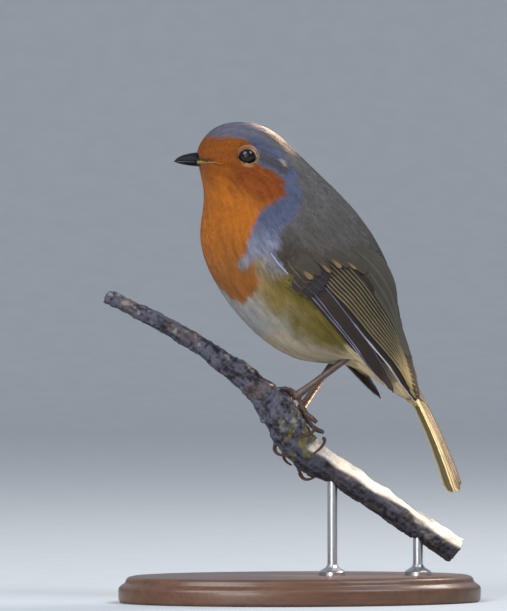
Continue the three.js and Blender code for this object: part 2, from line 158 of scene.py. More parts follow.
def one_skin(names, voxel, rounds, swell=0.0, weld=0.01):
    """One smooth mesh round some solids. Swelling them first closes the thin cuts between them."""
    steps = [("WELD", {"merge_threshold": weld * MM}),
             ("DISPLACE", {"strength": swell * MM, "mid_level": 0.0}),
             ("REMESH", {"mode": "VOXEL", "voxel_size": voxel * MM}),
             ("SMOOTH", {"factor": 0.5, "iterations": rounds})]
    return reshaped(*node_arrays(*names), *[step for step in steps if swell or step[0] != "DISPLACE"])


# %% [markdown]
# ## A little geometry
# Plumage is irregular at every size, so the same few tools come back all the time: unit vectors,
# soft steps, noise that changes smoothly through space, and smooth lines through a few points.
# The noise hashes the corners of a lattice of cells and blends between them, because Blender's own
# noise takes one point at a time.

# %% Vectors and noise
PRIMES = (73856093, 19349663, 83492791)  # they scatter the numbers of a lattice's cells


def unit(vectors):
    """Vectors of length one."""
    return vectors / np.maximum(np.linalg.norm(vectors, axis=-1, keepdims=True), 1e-9)


def soft_step(value, low, high):
    """Rises softly from 0 to 1 between two values."""
    t = np.clip((value - low) / (high - low), 0, 1)
    return t * t * (3 - 2 * t)


def blend(low, high, share):
    """What lies part of the way from one value to another."""
    return low + (high - low) * share


def noise(points, size, seed=0):
    """Smooth noise from -1 to 1 whose lumps are about size millimetres across."""
    spot = np.asarray(points) / size + seed * 7.31
    cell = np.floor(spot).astype(np.int64)
    share = spot - cell
    share = share * share * (3 - 2 * share)
    total = 0
    for corner in np.ndindex(2, 2, 2):
        weight = np.prod(np.where(corner, share, 1 - share), axis=-1)
        x, y, z = np.moveaxis(cell + corner, -1, 0)
        key = (x * PRIMES[0]) ^ (y * PRIMES[1]) ^ (z * PRIMES[2]) ^ (seed * 2654435761)
        key = (key ^ (key >> 13)) * 1274126177
        total = total + weight * ((key ^ (key >> 16)) & 0xFFFFF) / 0xFFFFF
    return 2 * total - 1


print("noise at three places:", noise(np.array([[0, 0, 0], [5, 1, 2], [9, 9, 9]]), 2.0).round(2))

# %% Lines and outlines
def run_lengths(line):
    """How far along a line each of its points lies."""
    return np.append(0, np.cumsum(np.linalg.norm(np.diff(line, axis=0), axis=1)))


def at_run(line, run):
    """The places that lie at some distances along a line."""
    length = run_lengths(line)
    return np.column_stack([np.interp(run, length, line[:, i]) for i in range(line.shape[1])])


def smooth_line(places, count):
    """Points at even steps of a Catmull-Rom curve through some places."""
    places = np.asarray(places, dtype=float)
    ends = np.vstack([2 * places[0] - places[1], places, 2 * places[-1] - places[-2]])
    t = np.linspace(0, 1, 24, endpoint=False)[:, None]
    runs = []
    for a, b, c, d in zip(ends, ends[1:], ends[2:], ends[3:]):
        runs.append(0.5 * (2 * b + (c - a) * t + (2 * a - 5 * b + 4 * c - d) * t**2
                           + (3 * b - a - 3 * c + d) * t**3))
    fine = np.vstack([*runs, places[-1:]])
    return at_run(fine, np.linspace(0, run_lengths(fine)[-1], count))


def line_distance(line, flat):
    """Distance from points to a line of segments, and how far along it each point lies."""
    line, best, place, run = np.asarray(line, float), np.inf, 0.0, 0.0
    for a, b in zip(line, line[1:]):
        length = np.linalg.norm(b - a)
        share = np.clip((flat - a) @ (b - a) / length**2, 0, 1)
        away = np.linalg.norm(flat - a - share[:, None] * (b - a), axis=1)
        place = np.where(away < best, run + share * length, place)
        best = np.minimum(best, away)
        run += length
    return best, place


def inside_distance(outline, flat):
    """Distance to a closed outline, above zero inside it and below zero outside."""
    outline = np.asarray(outline, float)
    closed = np.vstack([outline, outline[:1]])
    away, _ = line_distance(closed, flat)
    inside = np.zeros(len(flat), bool)
    for (x0, z0), (x1, z1) in zip(closed, closed[1:]):
        crosses = (z0 > flat[:, 1]) != (z1 > flat[:, 1])
        height = z1 - z0 if z1 != z0 else 1e-9
        inside ^= crosses & (flat[:, 0] < (x1 - x0) * (flat[:, 1] - z0) / height + x0)
    return np.where(inside, away, -away)


def point_normals(points, triangles):
    """Outward unit normals at the points of a closed surface."""
    a, b, c = (points[triangles[:, i]] for i in range(3))
    face = np.cross(b - a, c - a)
    total = np.zeros_like(points)
    for i in range(3):
        np.add.at(total, triangles[:, i], face)
    return unit(total)


print("ten millimetres in even steps:", smooth_line([(0, 0), (5, 0), (10, 0)], 5)[:, 0])

# %% Shapes from grids of points
SIDES = (("left", -1), ("right", 1))  # the left side faces -Y


def turns(count):
    """Angles at even steps round a circle."""
    return np.linspace(0, 2 * math.pi, count, endpoint=False)


def plate_faces(rows, columns):
    """Quads of a closed plate: a grid of points for its top, then the same grid for its bottom."""
    top = np.arange(rows * columns).reshape(rows, columns)
    under = top + rows * columns
    a, b, c, d = top[:-1, :-1], top[1:, :-1], top[1:, 1:], top[:-1, 1:]
    e, f, g, h = under[:-1, :-1], under[1:, :-1], under[1:, 1:], under[:-1, 1:]
    quads = [np.stack([a, b, c, d], -1).reshape(-1, 4), np.stack([h, g, f, e], -1).reshape(-1, 4)]
    rim = np.concatenate([top[0, :], top[1:, -1], top[-1, -2::-1], top[-2:0:-1, 0]])
    low = rim + rows * columns
    quads.append(np.stack([rim, np.roll(rim, -1), np.roll(low, -1), low], -1))
    return np.concatenate(quads)


def tube_faces(rings, sides, caps=True):
    """Triangles of a tube of rings, with a middle point at each end when it has caps."""
    ring = np.arange(rings * sides).reshape(rings, sides)
    a, b = ring[:-1], ring[1:]
    c, d = np.roll(b, -1, axis=1), np.roll(a, -1, axis=1)
    faces = [np.stack([a, b, c], -1).reshape(-1, 3), np.stack([a, c, d], -1).reshape(-1, 3)]
    if caps:
        start, end = rings * sides, rings * sides + 1
        first, last = ring[0], ring[-1]
        faces.append(np.stack([np.full(sides, start), first, np.roll(first, -1)], -1))
        faces.append(np.stack([np.full(sides, end), np.roll(last, -1), last], -1))
    return np.concatenate(faces)


def tube(line, radii, sides=12):
    """Points and triangles of a closed tube along a line of points."""
    line = np.asarray(line, float)
    forward = unit(np.gradient(line, axis=0))
    across = unit(np.cross(forward, [0.13, 0.2, 1.0]))
    up = np.cross(across, forward)
    turn = turns(sides)
    ring = np.cos(turn)[:, None, None] * across + np.sin(turn)[:, None, None] * up
    ring = line + ring * np.broadcast_to(radii, len(line))[None, :, None]
    points = np.swapaxes(ring, 0, 1).reshape(-1, 3)
    return np.vstack([points, line[:1], line[-1:]]), tube_faces(len(line), sides)


print("faces of a small plate:", len(plate_faces(4, 3)), "and of a small tube:", len(tube_faces(3, 6)))

# %% [markdown]
# ## Effects that several materials share
# Horn, skin, bark, wood and feathers all break up the light with fine grain, and the long feathers
# all have barbs, a shaft and a paler edge. Each effect is a node group, so that one recipe serves
# many finishes with different numbers. A group gives colours, masks and heights. The shader stays
# in the material.

# %% Building node trees
def new_group(name, inputs, outputs):
    """An empty node group with named sockets, and its input and output nodes."""
    group = bpy.data.node_groups.new(name, "ShaderNodeTree")
    kinds = {"value": "NodeSocketFloat", "colour": "NodeSocketColor", "vector": "NodeSocketVector"}
    for label, kind, value in inputs:
        socket = group.interface.new_socket(name=label, in_out="INPUT", socket_type=kinds[kind])
        socket.default_value = value
    for label, kind in outputs:
        group.interface.new_socket(name=label, in_out="OUTPUT", socket_type=kinds[kind])
    return group, group.nodes.new("NodeGroupInput"), group.nodes.new("NodeGroupOutput")


def feed(tree, node, inputs):
    """Sets some inputs of a node to values, or links them to sockets."""
    for key, value in inputs.items():
        if isinstance(value, bpy.types.NodeSocket):
            tree.links.new(value, node.inputs[key])
        else:
            node.inputs[key].default_value = value


def add_node(tree, kind, inputs=None, **settings):
    """A node with its settings made and its inputs fed."""
    node = tree.nodes.new(kind)
    for key, value in settings.items():
        setattr(node, key, value)
    feed(tree, node, inputs or {})
    return node


def sums(tree, operation, *values):
    """The result of one Math node."""
    return add_node(tree, "ShaderNodeMath", dict(enumerate(values)), operation=operation).outputs[0]


def mixed(tree, share, low, high, blend_type="MIX"):
    """The result of one colour Mix node."""
    node = add_node(tree, "ShaderNodeMix", {0: share}, data_type="RGBA", blend_type=blend_type)
    feed(tree, node, {6: low, 7: high})
    return node.outputs[2]


def smooth_range(tree, value, low, high):
    """A mask that rises softly from 0 to 1 between two values."""
    node = add_node(tree, "ShaderNodeMapRange", {"Value": value, "From Min": low, "From Max": high},
                    interpolation_type="SMOOTHSTEP")
    return node.outputs["Result"]


def colour(red, green, blue):
    """A colour named as on a screen, from 0 to 255, turned into light."""
    share = np.array([red, green, blue]) / 255
    return np.where(share <= 0.04045, share / 12.92, ((share + 0.055) / 1.055) ** 2.4)


def paint_of(red, green, blue):
    """The same with full cover, as a node's colour socket takes it."""
    return (*colour(red, green, blue), 1.0)


# %% Grain and mottling
def grain_group():
    """Fine grain: a height for bumps and a mottled mask, both from the place on the model."""
    group, given, made = new_group(
        "fine_grain",
        [("Size", "value", 0.4), ("Stretch", "vector", (1, 1, 1)), ("Roughness", "value", 0.6)],
        [("Height", "value"), ("Mask", "value")])
    place = add_node(group, "ShaderNodeTexCoord").outputs["Object"]
    stretched = add_node(group, "ShaderNodeVectorMath", {0: place, 1: given.outputs["Stretch"]},
                         operation="MULTIPLY").outputs[0]
    scale = sums(group, "DIVIDE", 1000.0, given.outputs["Size"])
    fine = add_node(group, "ShaderNodeTexNoise", {
        "Vector": stretched, "Scale": scale, "Detail": 4.0, "Roughness": given.outputs["Roughness"]})
    coarse = add_node(group, "ShaderNodeTexNoise", {
        "Vector": stretched, "Scale": sums(group, "MULTIPLY", scale, 0.17), "Detail": 3.0})
    mask = smooth_range(group, coarse.outputs["Fac"], 0.36, 0.66)
    feed(group, made, {"Height": fine.outputs["Fac"], "Mask": mask})
    return group


fine_grain = grain_group()
print("node group:", fine_grain.name)

# %% The web of a long feather
def web_group():
    """Shaft, barbs and a paler edge, from how far along and across its vane a point lies."""
    group, given, made = new_group(
        "feather_web",
        [("Web", "colour", (0.03, 0.03, 0.03, 1)), ("Edge", "colour", (0.3, 0.2, 0.1, 1)),
         ("Tip", "colour", (0.3, 0.2, 0.1, 1)), ("Edge Width", "value", 0.2),
         ("Inner Edge", "value", 0.05), ("Tip Length", "value", 0.03), ("Shaft Place", "value", 0.3)],
        [("Color", "colour"), ("Height", "value")])
    given = given.outputs
    vane = add_node(group, "ShaderNodeAttribute", attribute_name="vane").outputs["Vector"]
    along, across, feather = add_node(group, "ShaderNodeSeparateXYZ", {"Vector": vane}).outputs
    wander = add_node(group, "ShaderNodeTexNoise", {
        "Vector": vane, "Scale": 9.0, "Detail": 3.0}).outputs["Fac"]
    wander = sums(group, "MULTIPLY", sums(group, "SUBTRACT", wander, 0.5), 0.16)
    reach = sums(group, "ADD", across, wander)
    near = smooth_range(group, reach, given["Edge Width"], sums(group, "MULTIPLY", given["Edge Width"], 0.25))
    far = smooth_range(group, sums(group, "SUBTRACT", 1.0, reach), given["Inner Edge"], 0.0)
    edge = sums(group, "MAXIMUM", near, sums(group, "MULTIPLY", far, 0.6))
    off_shaft = sums(group, "ABSOLUTE", sums(group, "SUBTRACT", across, given["Shaft Place"]))
    wedge = sums(group, "SUBTRACT", sums(group, "MULTIPLY", off_shaft, 2.2), wander)
    left = sums(group, "ADD", sums(group, "SUBTRACT", 1.0, along),
                sums(group, "MULTIPLY", wedge, given["Tip Length"]))
    tip = smooth_range(group, left, given["Tip Length"], sums(group, "MULTIPLY", given["Tip Length"], 0.6))
    shade = mixed(group, edge, given["Web"], given["Edge"])
    shade = mixed(group, tip, shade, given["Tip"])
    shaft = smooth_range(group, off_shaft, 0.045, 0.015)
    slant = sums(group, "ADD", sums(group, "MULTIPLY", along, 95.0),
                 sums(group, "MULTIPLY", off_shaft, -22.0))
    barbs = add_node(group, "ShaderNodeTexNoise", {
        "Vector": add_node(group, "ShaderNodeCombineXYZ", {"X": slant, "Y": feather}).outputs[0],
        "Scale": 1.1, "Detail": 2.0}).outputs["Fac"]
    light = sums(group, "ADD", 0.8, sums(group, "MULTIPLY", barbs, 0.4))
    level = add_node(group, "ShaderNodeCombineColor", dict.fromkeys(("Red", "Green", "Blue"), light))
    shade = mixed(group, 1.0, shade, level.outputs[0], "MULTIPLY")
    shade = mixed(group, sums(group, "MULTIPLY", shaft, 0.6), shade, paint_of(58, 46, 38))
    height = sums(group, "ADD", sums(group, "MULTIPLY", shaft, 1.5), barbs)
    feed(group, made, {"Color": shade, "Height": height})
    return group


feather_web = web_group()
print("node group:", feather_web.name)

# %% Materials
def new_material(name, **settings):
    """A material with its Principled shader, whose fixed values are set on its own sockets."""
    material = bpy.data.materials.new(name)
    material.use_nodes = True
    shader = material.node_tree.nodes["Principled BSDF"]
    for key, value in settings.items():
        shader.inputs[key.replace("_", " ")].default_value = value
    return material, material.node_tree, shader


def place_group(tree, group, values):
    """A node group in a material, with its own values."""
    return add_node(tree, "ShaderNodeGroup", values, node_tree=group).outputs


def cover(tree, shader, shade, height, distance, strength=1.0):
    """Feeds a shader its colour, and lets a height tilt the surface. The distance is in millimetres."""
    bump = add_node(tree, "ShaderNodeBump", {
        "Height": height, "Distance": distance * MM, "Strength": strength})
    feed(tree, shader, {"Base Color": shade, "Normal": bump.outputs["Normal"]})


def stored_tint(tree):
    """The colours stored at the points of a piece."""
    return add_node(tree, "ShaderNodeAttribute", attribute_name="tint").outputs["Color"]


def uneven_material(name, grain, darkest, lightest, distance, strength=1.0, **settings):
    """A finish with the stored colours, made darker and lighter by the grain."""
    material, tree, shader = new_material(name, **settings)
    grain = place_group(tree, fine_grain, grain)
    level = add_node(tree, "ShaderNodeMapRange", {
        "Value": grain["Height"], "From Min": 0.3, "From Max": 0.7, "To Min": darkest, "To Max": lightest})
    shade = add_node(tree, "ShaderNodeVectorMath", {0: stored_tint(tree), 3: level.outputs[0]},
                     operation="SCALE")
    cover(tree, shader, shade.outputs[0], grain["Height"], distance, strength)
    return material


def mottled_material(name, grain, second, share, distance, strength=1.0, **settings):
    """A finish with the stored colours and faint patches of a second one."""
    material, tree, shader = new_material(name, **settings)
    grain = place_group(tree, fine_grain, grain)
    shade = mixed(tree, sums(tree, "MULTIPLY", grain["Mask"], share), stored_tint(tree), paint_of(*second))
    cover(tree, shader, shade, grain["Height"], distance, strength)
    return material


def vane_material(name, web, edge, tip, edge_width, tip_length):
    """The firm web of a wing or tail feather."""
    material, tree, shader = new_material(name, Roughness=0.7, Specular_IOR_Level=0.14, Sheen_Weight=0.05)
    made = place_group(tree, feather_web, {
        "Web": paint_of(*web), "Edge": paint_of(*edge), "Tip": paint_of(*tip),
        "Edge Width": edge_width, "Tip Length": tip_length})
    cover(tree, shader, made["Color"], made["Height"], 0.05, 0.6)
    return material


plumage = uneven_material("plumage", {"Size": 0.5}, 0.9, 1.08, 0.02, 0.4, Roughness=0.8,
                          Sheen_Weight=0.08, Sheen_Roughness=0.5, Specular_IOR_Level=0.12)
print("materials so far:", plumage.name)

# %% [markdown]
# ## How the plumage lies and what colour it is
# Feathers point away from the bill on the head and run down the body towards the tail. The robin's
# markings are patches with soft, ragged edges: an orange face and bib, a blue-grey band beside it,
# olive brown above, and white to olive buff below. An image could hold them, but a formula of named
# outlines in side view stays sharp at any size and serves the skin and the feathers alike.

# %% Lie of the feathers
bill_low, bill_high = node_box("bill_upper")
eye_low, eye_high = node_box("eye_left")
EYE = (eye_low + eye_high) / 2
EYE_RADIUS = (eye_high[0] - eye_low[0]) / 2
BILL_ROOT = np.array([bill_high[0] - 0.6, 0.0, bill_low[2]])
BODY_AXIS = unit(np.array([0.56, 0.0, -0.83]))
# The middle of the body in side view, from the bill to the tail, as (x, z).
BODY_LINE = np.array([(-31, 132), (-20, 131), (-13, 125), (-8, 113),
                      (2, 100), (14, 86), (26, 74), (35, 61)])


def lie(points, normals):
    """Unit directions in which feathers lie on the surface."""
    away = points - BILL_ROOT
    share = soft_step(np.linalg.norm(away, axis=1), 10, 42)[:, None]
    swirl = np.column_stack([noise(points, 7, seed) for seed in (3, 4, 5)])
    flow = blend(unit(away), BODY_AXIS, share) + 0.05 * swirl
    return unit(flow - normals * np.sum(flow * normals, axis=1, keepdims=True))


def body_place(points):
    """How far from the bill points lie along the body, and how far round from the back, 0 to 1."""
    flat = points[:, [0, 2]]
    _, along = line_distance(BODY_LINE, flat)
    behind, middle, ahead = (at_run(BODY_LINE, along + step) for step in (-2, 0, 2))
    forward = unit(ahead - behind)
    off = flat - middle
    above = off[:, 1] * forward[:, 0] - off[:, 0] * forward[:, 1]
    return along, np.arctan2(np.abs(points[:, 1]), above) / math.pi


print("eye at", EYE.round(1), "radius", round(EYE_RADIUS, 2), "bill root", BILL_ROOT.round(1))

# %% Plumage colours
ORANGE = colour(184, 106, 30)
FACE = colour(140, 74, 20)
CHEEK = colour(130, 60, 16)
RUST = colour(150, 94, 44)
BLUE_GREY = colour(85, 92, 118)
BLUE_PALE = colour(138, 142, 162)
CROWN = colour(104, 103, 118)
OLIVE_GREY = colour(99, 95, 93)
OLIVE = colour(68, 63, 52)
COVERT_BROWN = colour(74, 64, 54)
BUFF = colour(120, 106, 48)
OCHRE = colour(160, 130, 66)
WHITE = colour(168, 168, 167)
WISP = colour(220, 200, 166)
CREAM = colour(224, 204, 162)
RING = colour(186, 152, 104)

# Markings in side view, as (x, z): the bib's outline and the middle lines of the other patches.
BIB = [(-34, 138.3), (-28, 139.4), (-23.8, 139.3), (-18, 138.9), (-15.9, 137.6), (-14.6, 135.6),
       (-14.3, 131.2), (-9.6, 128.4), (-7.0, 125.5), (-6.8, 122), (-11.4, 119), (-15.3, 116),
       (-17, 111.3), (-18.7, 104.6), (-21, 101.5), (-20.4, 99.2), (-16.4, 101.4), (-14.9, 97.5),
       (-15.6, 93.8), (-18.4, 89.8), (-22, 92), (-25.6, 95.6), (-32, 101), (-40, 110)]
GREY = [(-16, 139.4), (-12.5, 138.6), (-7.1, 135.6), (-2.8, 128.1), (-2.2, 120.6), (-3.7, 116.1),
        (-7.2, 113.1), (-9.4, 108.6), (-7.9, 102), (-8, 97.5), (-11.5, 94.4), (-16, 94), (-22, 99),
        (-24, 104), (-17, 128)]
CROWN_LINE = [(-31, 140), (-24, 143.5), (-17, 144.5), (-13, 144)]
EAR_LINE = [(-12.4, 133.4), (-6.8, 129.6)]
WISP_LINE = [(-7.2, 132.6), (-6.0, 130.8)]
WING_EDGE = [(-14, 106), (-5.8, 96.4), (0.9, 89.4), (8.6, 80.7), (17.5, 72), (27.2, 63.3)]
BELLY_LINE = [(-25, 93), (-17, 83.5), (-9, 77), (0, 72.5), (8, 71)]
VENT_LINE = [(16, 70), (24, 65.5), (33, 58)]
OCHRE_LINE = [(-15.0, 99.8), (-12.8, 95.4), (-9.6, 90.8)]
LORE_LINE = [(-30, 132.6), (-27.4, 132.1)]
CHEEK_LINE = [(-17, 128.5), (-10, 124)]
# The short brown coverts at the bend of the wing.
LESSER = [(-10.6, 104.6), (-6.6, 106.6), (0.6, 104.4), (5.4, 101.6), (6.6, 98.6), (0.6, 93), (-3.4, 94.2)]
DENSITY = 0.62  # how much light the deep coat gives back, next to a flat swatch


def step_up(value, low, high):
    """A soft step for each point, ready to blend colours with."""
    return soft_step(value, low, high)[:, None]


def near(line, flat, reach, softness):
    """How much a patch round a line covers each point."""
    away, _ = line_distance(line, flat)
    return 1 - step_up(away, reach - softness, reach + softness)


def above_wing_edge(flat):
    """Above zero for places in side view that lie above or in front of the folded wing's lower edge."""
    (x0, z0), (x1, z1) = WING_EDGE[0], WING_EDGE[-1]
    return (flat[:, 0] - x0) * (z0 - z1) + (flat[:, 1] - z0) * (x1 - x0)


def plumage_colour(points):
    """The robin's markings, from places alone."""
    ragged = 0.8 * noise(points, 2.6, 11) + 0.4 * noise(points, 1.1, 12)
    flat = points[:, [0, 2]] + np.column_stack([ragged, 0.6 * ragged])
    high = flat[:, 1]
    off_wing = line_distance(WING_EDGE, flat)[0] * np.where(above_wing_edge(flat) < 0, 1, -1)
    patches = 0.5 + 0.5 * noise(points, 5.5, 13)
    along, around = body_place(points)
    streaks = noise(np.column_stack([along * 0.16, around * 44, high * 0.1]), 0.8, 14)
    locks = noise(np.column_stack([along * 0.3, around * 20, high * 0.1]), 0.9, 15)
    shade = blend(OLIVE, OLIVE_GREY, step_up(high + 8 * patches, 92, 128))
    shade = blend(shade, CROWN, near(CROWN_LINE, flat, 5, 2.5))
    under = blend(BUFF, blend(WHITE, CREAM, 0.3), step_up(off_wing + 1.5 * patches + 3 * locks, 3, 21))
    shade = blend(shade, under, step_up(off_wing, -1.5, 0.8))
    shade = blend(shade, WHITE, near(BELLY_LINE[:3], flat, 5.0, 3.0) * 0.9)
    shade = blend(shade, blend(CREAM, WHITE, 0.35) * 0.86, near(BELLY_LINE[2:], flat, 4.5, 2.5))
    shade = blend(shade, CREAM, near(VENT_LINE, flat, 6.5, 2.0) * step_up(around, 0.3, 0.45))
    grey = blend(BLUE_PALE, BLUE_GREY, step_up(high + 3 * patches, 104, 117))
    fade = blend(0.3, 0.95, step_up(high + 2 * locks, 94, 104))
    shade = blend(shade, grey, step_up(inside_distance(GREY, flat), -1.1, 1.1) * fade)
    ochre = np.clip(0.5 + 0.3 * patches + 0.5 * locks, 0, 0.9)[:, None]
    shade = blend(shade, OCHRE * 0.8, near(OCHRE_LINE, flat, 3.2, 2.8) * ochre)
    shade = blend(shade, OLIVE, near(EAR_LINE, flat, 1.7, 1.0) * 0.7)
    shade = blend(shade, WISP, near(WISP_LINE, flat, 0.3, 0.35) * 0.5)
    shade = blend(shade, COVERT_BROWN, step_up(inside_distance(LESSER, flat), -2.4, 1.4))
    orange = blend(ORANGE, RUST, step_up(116 - high + 5 * patches, 4, 20) * 0.8)
    orange = blend(orange, FACE, step_up(high + 0.5 * flat[:, 0], 108, 117) * 0.85)
    orange = blend(orange, CHEEK, near(CHEEK_LINE, flat, 4.5, 3) * 0.7)
    shade = blend(shade, orange, step_up(inside_distance(BIB, flat), -0.7, 0.7))
    shade = blend(shade, COVERT_BROWN * 0.5, near(LORE_LINE, flat, 0.6, 0.5) * 0.8)
    eye = np.linalg.norm(points * [1, 0, 1] - EYE * [1, 0, 1], axis=1)
    behind = soft_step(points[:, 0] - EYE[0] - 0.7 * (points[:, 2] - EYE[2]), -2.5, 1.5)
    shade = blend(shade, RING, (behind * (1 - soft_step(eye, 3.1, 3.7)))[:, None] * 0.5)
    return shade * DENSITY * (1 + 0.2 * streaks + 0.07 * locks)[:, None]


print("colour at the bib and the back:", plumage_colour(np.array([[-29.0, 0, 115], [20, 0, 110]])).round(2))

# %% [markdown]
# ## Skin
# Under the feathers the head, neck and trunk are one body, so one skin stands for the three solids.
# Their meshes could be joined edge to edge, but a voxel remesh closes the thin cuts between them by
# itself. The result is smoothed and drawn in by the depth of the coat, which is thin on the face.

# %% One skin for head, neck and trunk
# The part of the body that the folded wing hides, in side view.
UNDER_WING = [(-7.0, 97.4), (-3.6, 93.6), (2, 89), (10, 80), (19, 71), (25, 66), (30, 66), (29.5, 74),
              (27, 82), (23, 90), (19, 96.4), (13.5, 101.4), (7, 103.6), (2.4, 102.4), (-1.7, 100.8),
              (-3.2, 98.8)]
BODY = ("head", "neck", "trunk")
SWELL = 0.4  # closes the cuts before the remesh


def coat_depth(points):
    """Depth of the feathers: thin on the face and deeper down the body."""
    return blend(0.3, 0.55, soft_step(np.linalg.norm(points - BILL_ROOT, axis=1), 12, 40))


def fluff(points):
    """Feathers stand a little higher on the crown, and lie flatter on the throat, than the solids."""
    crown = np.exp(-np.sum(((points - [-24, 0, 141.5]) / [7, 9, 5]) ** 2, axis=1))
    throat = np.exp(-np.sum(((points - [-31, 0, 123]) / [6, 8, 8]) ** 2, axis=1))
    return 0.8 * crown - 0.4 * throat


skin_points, skin_faces = one_skin(BODY, 0.8, 14, SWELL, weld=0.02)
depth = coat_depth(skin_points) + SWELL - fluff(skin_points)
skin_points = skin_points - point_normals(skin_points, skin_faces) * depth[:, None]
# painted shade: the skin is darker under the coat, and darkest where the folded wing hides it
under_wing_shade = step_up(inside_distance(UNDER_WING, skin_points[:, [0, 2]]), -1, 1)
shade = plumage_colour(skin_points) * blend(0.85, 0.4, under_wing_shade)  # darker under the feathers
painted_piece("skin", (skin_points, skin_faces), plumage, shade, *BODY, slot="body_plumage")

# %% [markdown]
# ## Wing feathers
# A folded wing is a stack of long feathers. The outermost lies lowest and the innermost on top, and
# each shows only its lower edge, so the wing reads as stripes that run together towards the tip.
# Stripes could be painted on one plate, but real overlapping vanes give true shadows and tips.
# Each feather is drawn in side view by its lower edge and width, then laid on the wing's surface.

# %% The surface that the wing feathers lie on
LEFT_WING = ["wing_left_coverts", "wing_left_secondaries", "wing_left_primaries"]
GRID_STEP = 1.0
SOFT_STOP = 0.8  # how gently a feather bends away from the back's outline
GRID_X = np.arange(-20, 46, GRID_STEP)
GRID_Z = np.arange(48, 114, GRID_STEP)
# The outline of the back, which no wing feather passes, from the rump upwards as (z, x).
BACK_EDGE = np.array([(50, 38.5), (60, 35.6), (68.6, 33.2), (75, 31.2), (81.7, 28.6), (86.7, 27.1),
                      (90, 26.9), (95, 26.2), (100, 24.8), (104, 22.6), (110, 18)])


def height_grid():
    """How far out the left wing reaches over a grid in side view, smoothed and filled outwards."""
    tree = BVHTree.FromPolygons(*(a.tolist() for a in node_arrays(*LEFT_WING, "trunk", "neck")))
    height = np.full((len(GRID_X), len(GRID_Z)), np.nan)
    for i, x in enumerate(GRID_X):
        for j, z in enumerate(GRID_Z):
            hit = tree.ray_cast(Vector((x, -90, z)), Vector((0, 1, 0)), 90)[0]
            if hit:
                height[i, j] = -hit.y
    known = ~np.isnan(height)
    grid = np.where(known, height, 4.0)
    for step in range(60):
        padded = np.pad(grid, 1, mode="edge")
        average = (padded[2:, 1:-1] + padded[:-2, 1:-1] + padded[1:-1, 2:] + padded[1:-1, :-2]) / 4
        grid = np.where(known, blend(grid, average, 0.5 if step > 52 else 0.0), average)
    return grid


wing_grid = height_grid()


def wing_surface(flat, lift):
    """Points on the left wing at (x, z) places, raised along its normal."""
    def height(places):
        """How far out the grid lies at some places, blended between its points."""
        last = np.array(wing_grid.shape) - 1.001
        column = np.clip((places - [GRID_X[0], GRID_Z[0]]) / GRID_STEP, 0, last)
        cell = column.astype(int)
        u, v = (column - cell).T
        i, j = cell.T
        return (wing_grid[i, j] * (1 - u) * (1 - v) + wing_grid[i + 1, j] * u * (1 - v)
                + wing_grid[i, j + 1] * (1 - u) * v + wing_grid[i + 1, j + 1] * u * v)
    limit = np.interp(flat[:, 1], *BACK_EDGE.T)
    over = (limit - flat[:, 0]) / SOFT_STOP
    flat = np.column_stack([limit - SOFT_STOP * np.logaddexp(0, over), flat[:, 1]])
    out = height(flat)
    slope_x, slope_z = ((height(flat + step) - height(flat - step)) / 1.4 for step in ([0.7, 0], [0, 0.7]))
    normal = unit(np.column_stack([-slope_x, -np.ones_like(out), -slope_z]))
    return np.column_stack([flat[:, 0], -out, flat[:, 1]]) + normal * np.asarray(lift)[:, None]


print("wing surface reaches", round(float(wing_grid.max()), 1), "mm out")

# %% One feather of the wing
rng = np.random.default_rng(7)
VANE_THICKNESS = 0.1


def tip_profile(along, tip, point):
    """Width of a feather along its length, from a narrow root to a round or pointed tip."""
    root = blend(0.55, 1.0, soft_step(along, 0, 0.22))
    end = np.clip((along - 1 + tip) / tip, 0, 1)
    return root * np.sqrt(np.maximum(1 - end**point, 0.0009))


def vane(lower, width, lift, tip=0.12, rows=44, columns=11, shaft=0.3, lay=wing_surface, arch=0.12,
         point=2.3, sink=0.0, zone=((0, 1), (0, 1))):
    """A feather from its lower edge in side view. Returns its points and its vane places.
    Its root sinks under the plumage. The zone is the part of the web's pattern that it shows."""
    edge = smooth_line(lower, rows)
    forward = unit(np.gradient(edge, axis=0))
    upward = np.column_stack([-forward[:, 1], forward[:, 0]])
    along = np.linspace(0, 1, rows)
    across = np.linspace(0, 1, columns)
    profile = tip_profile(along, tip, point)
    fray = 0.05 * rng.standard_normal((rows, 1)) * soft_step(along, 0.6, 1.0)[:, None]
    span = (across - shaft) * profile[:, None] + shaft + fray * (across - 0.5)
    flat = edge[:, None] + upward[:, None] * (span * width)[..., None]
    crown = arch * (np.sin(math.pi * across) + 0.6 * np.exp(-(((across - shaft) / 0.06) ** 2)))
    height = lift + np.broadcast_to(crown, (rows, columns)) * profile[:, None]
    height = height - sink * (1 - soft_step(along, 0, 0.5))[:, None]
    flat, height = flat.reshape(-1, 2), height.reshape(-1)
    points = np.vstack([lay(flat, height), lay(flat, height - VANE_THICKNESS)])
    u, v = np.meshgrid(along, across, indexing="ij")
    number = np.full(u.size, rng.random() * 40)
    places = np.column_stack([blend(*zone[0], u.ravel()), blend(*zone[1], v.ravel()), number])
    return points, np.vstack([places, places]), plate_faces(rows, columns)


def stack(vanes):
    """Joins many feathers into one set of points, vane places and quads."""
    points, faces = joined([(points, faces) for points, _, faces in vanes])
    return points, np.vstack([places for _, places, _ in vanes]), faces


def between(low_line, high_line, share):
    """The line that lies part of the way from one line to another."""
    return blend(smooth_line(low_line, 9), smooth_line(high_line, 9), share)


print("points of one feather:", len(vane([(0, 90), (10, 80), (20, 70)], 4, 0)[0]))

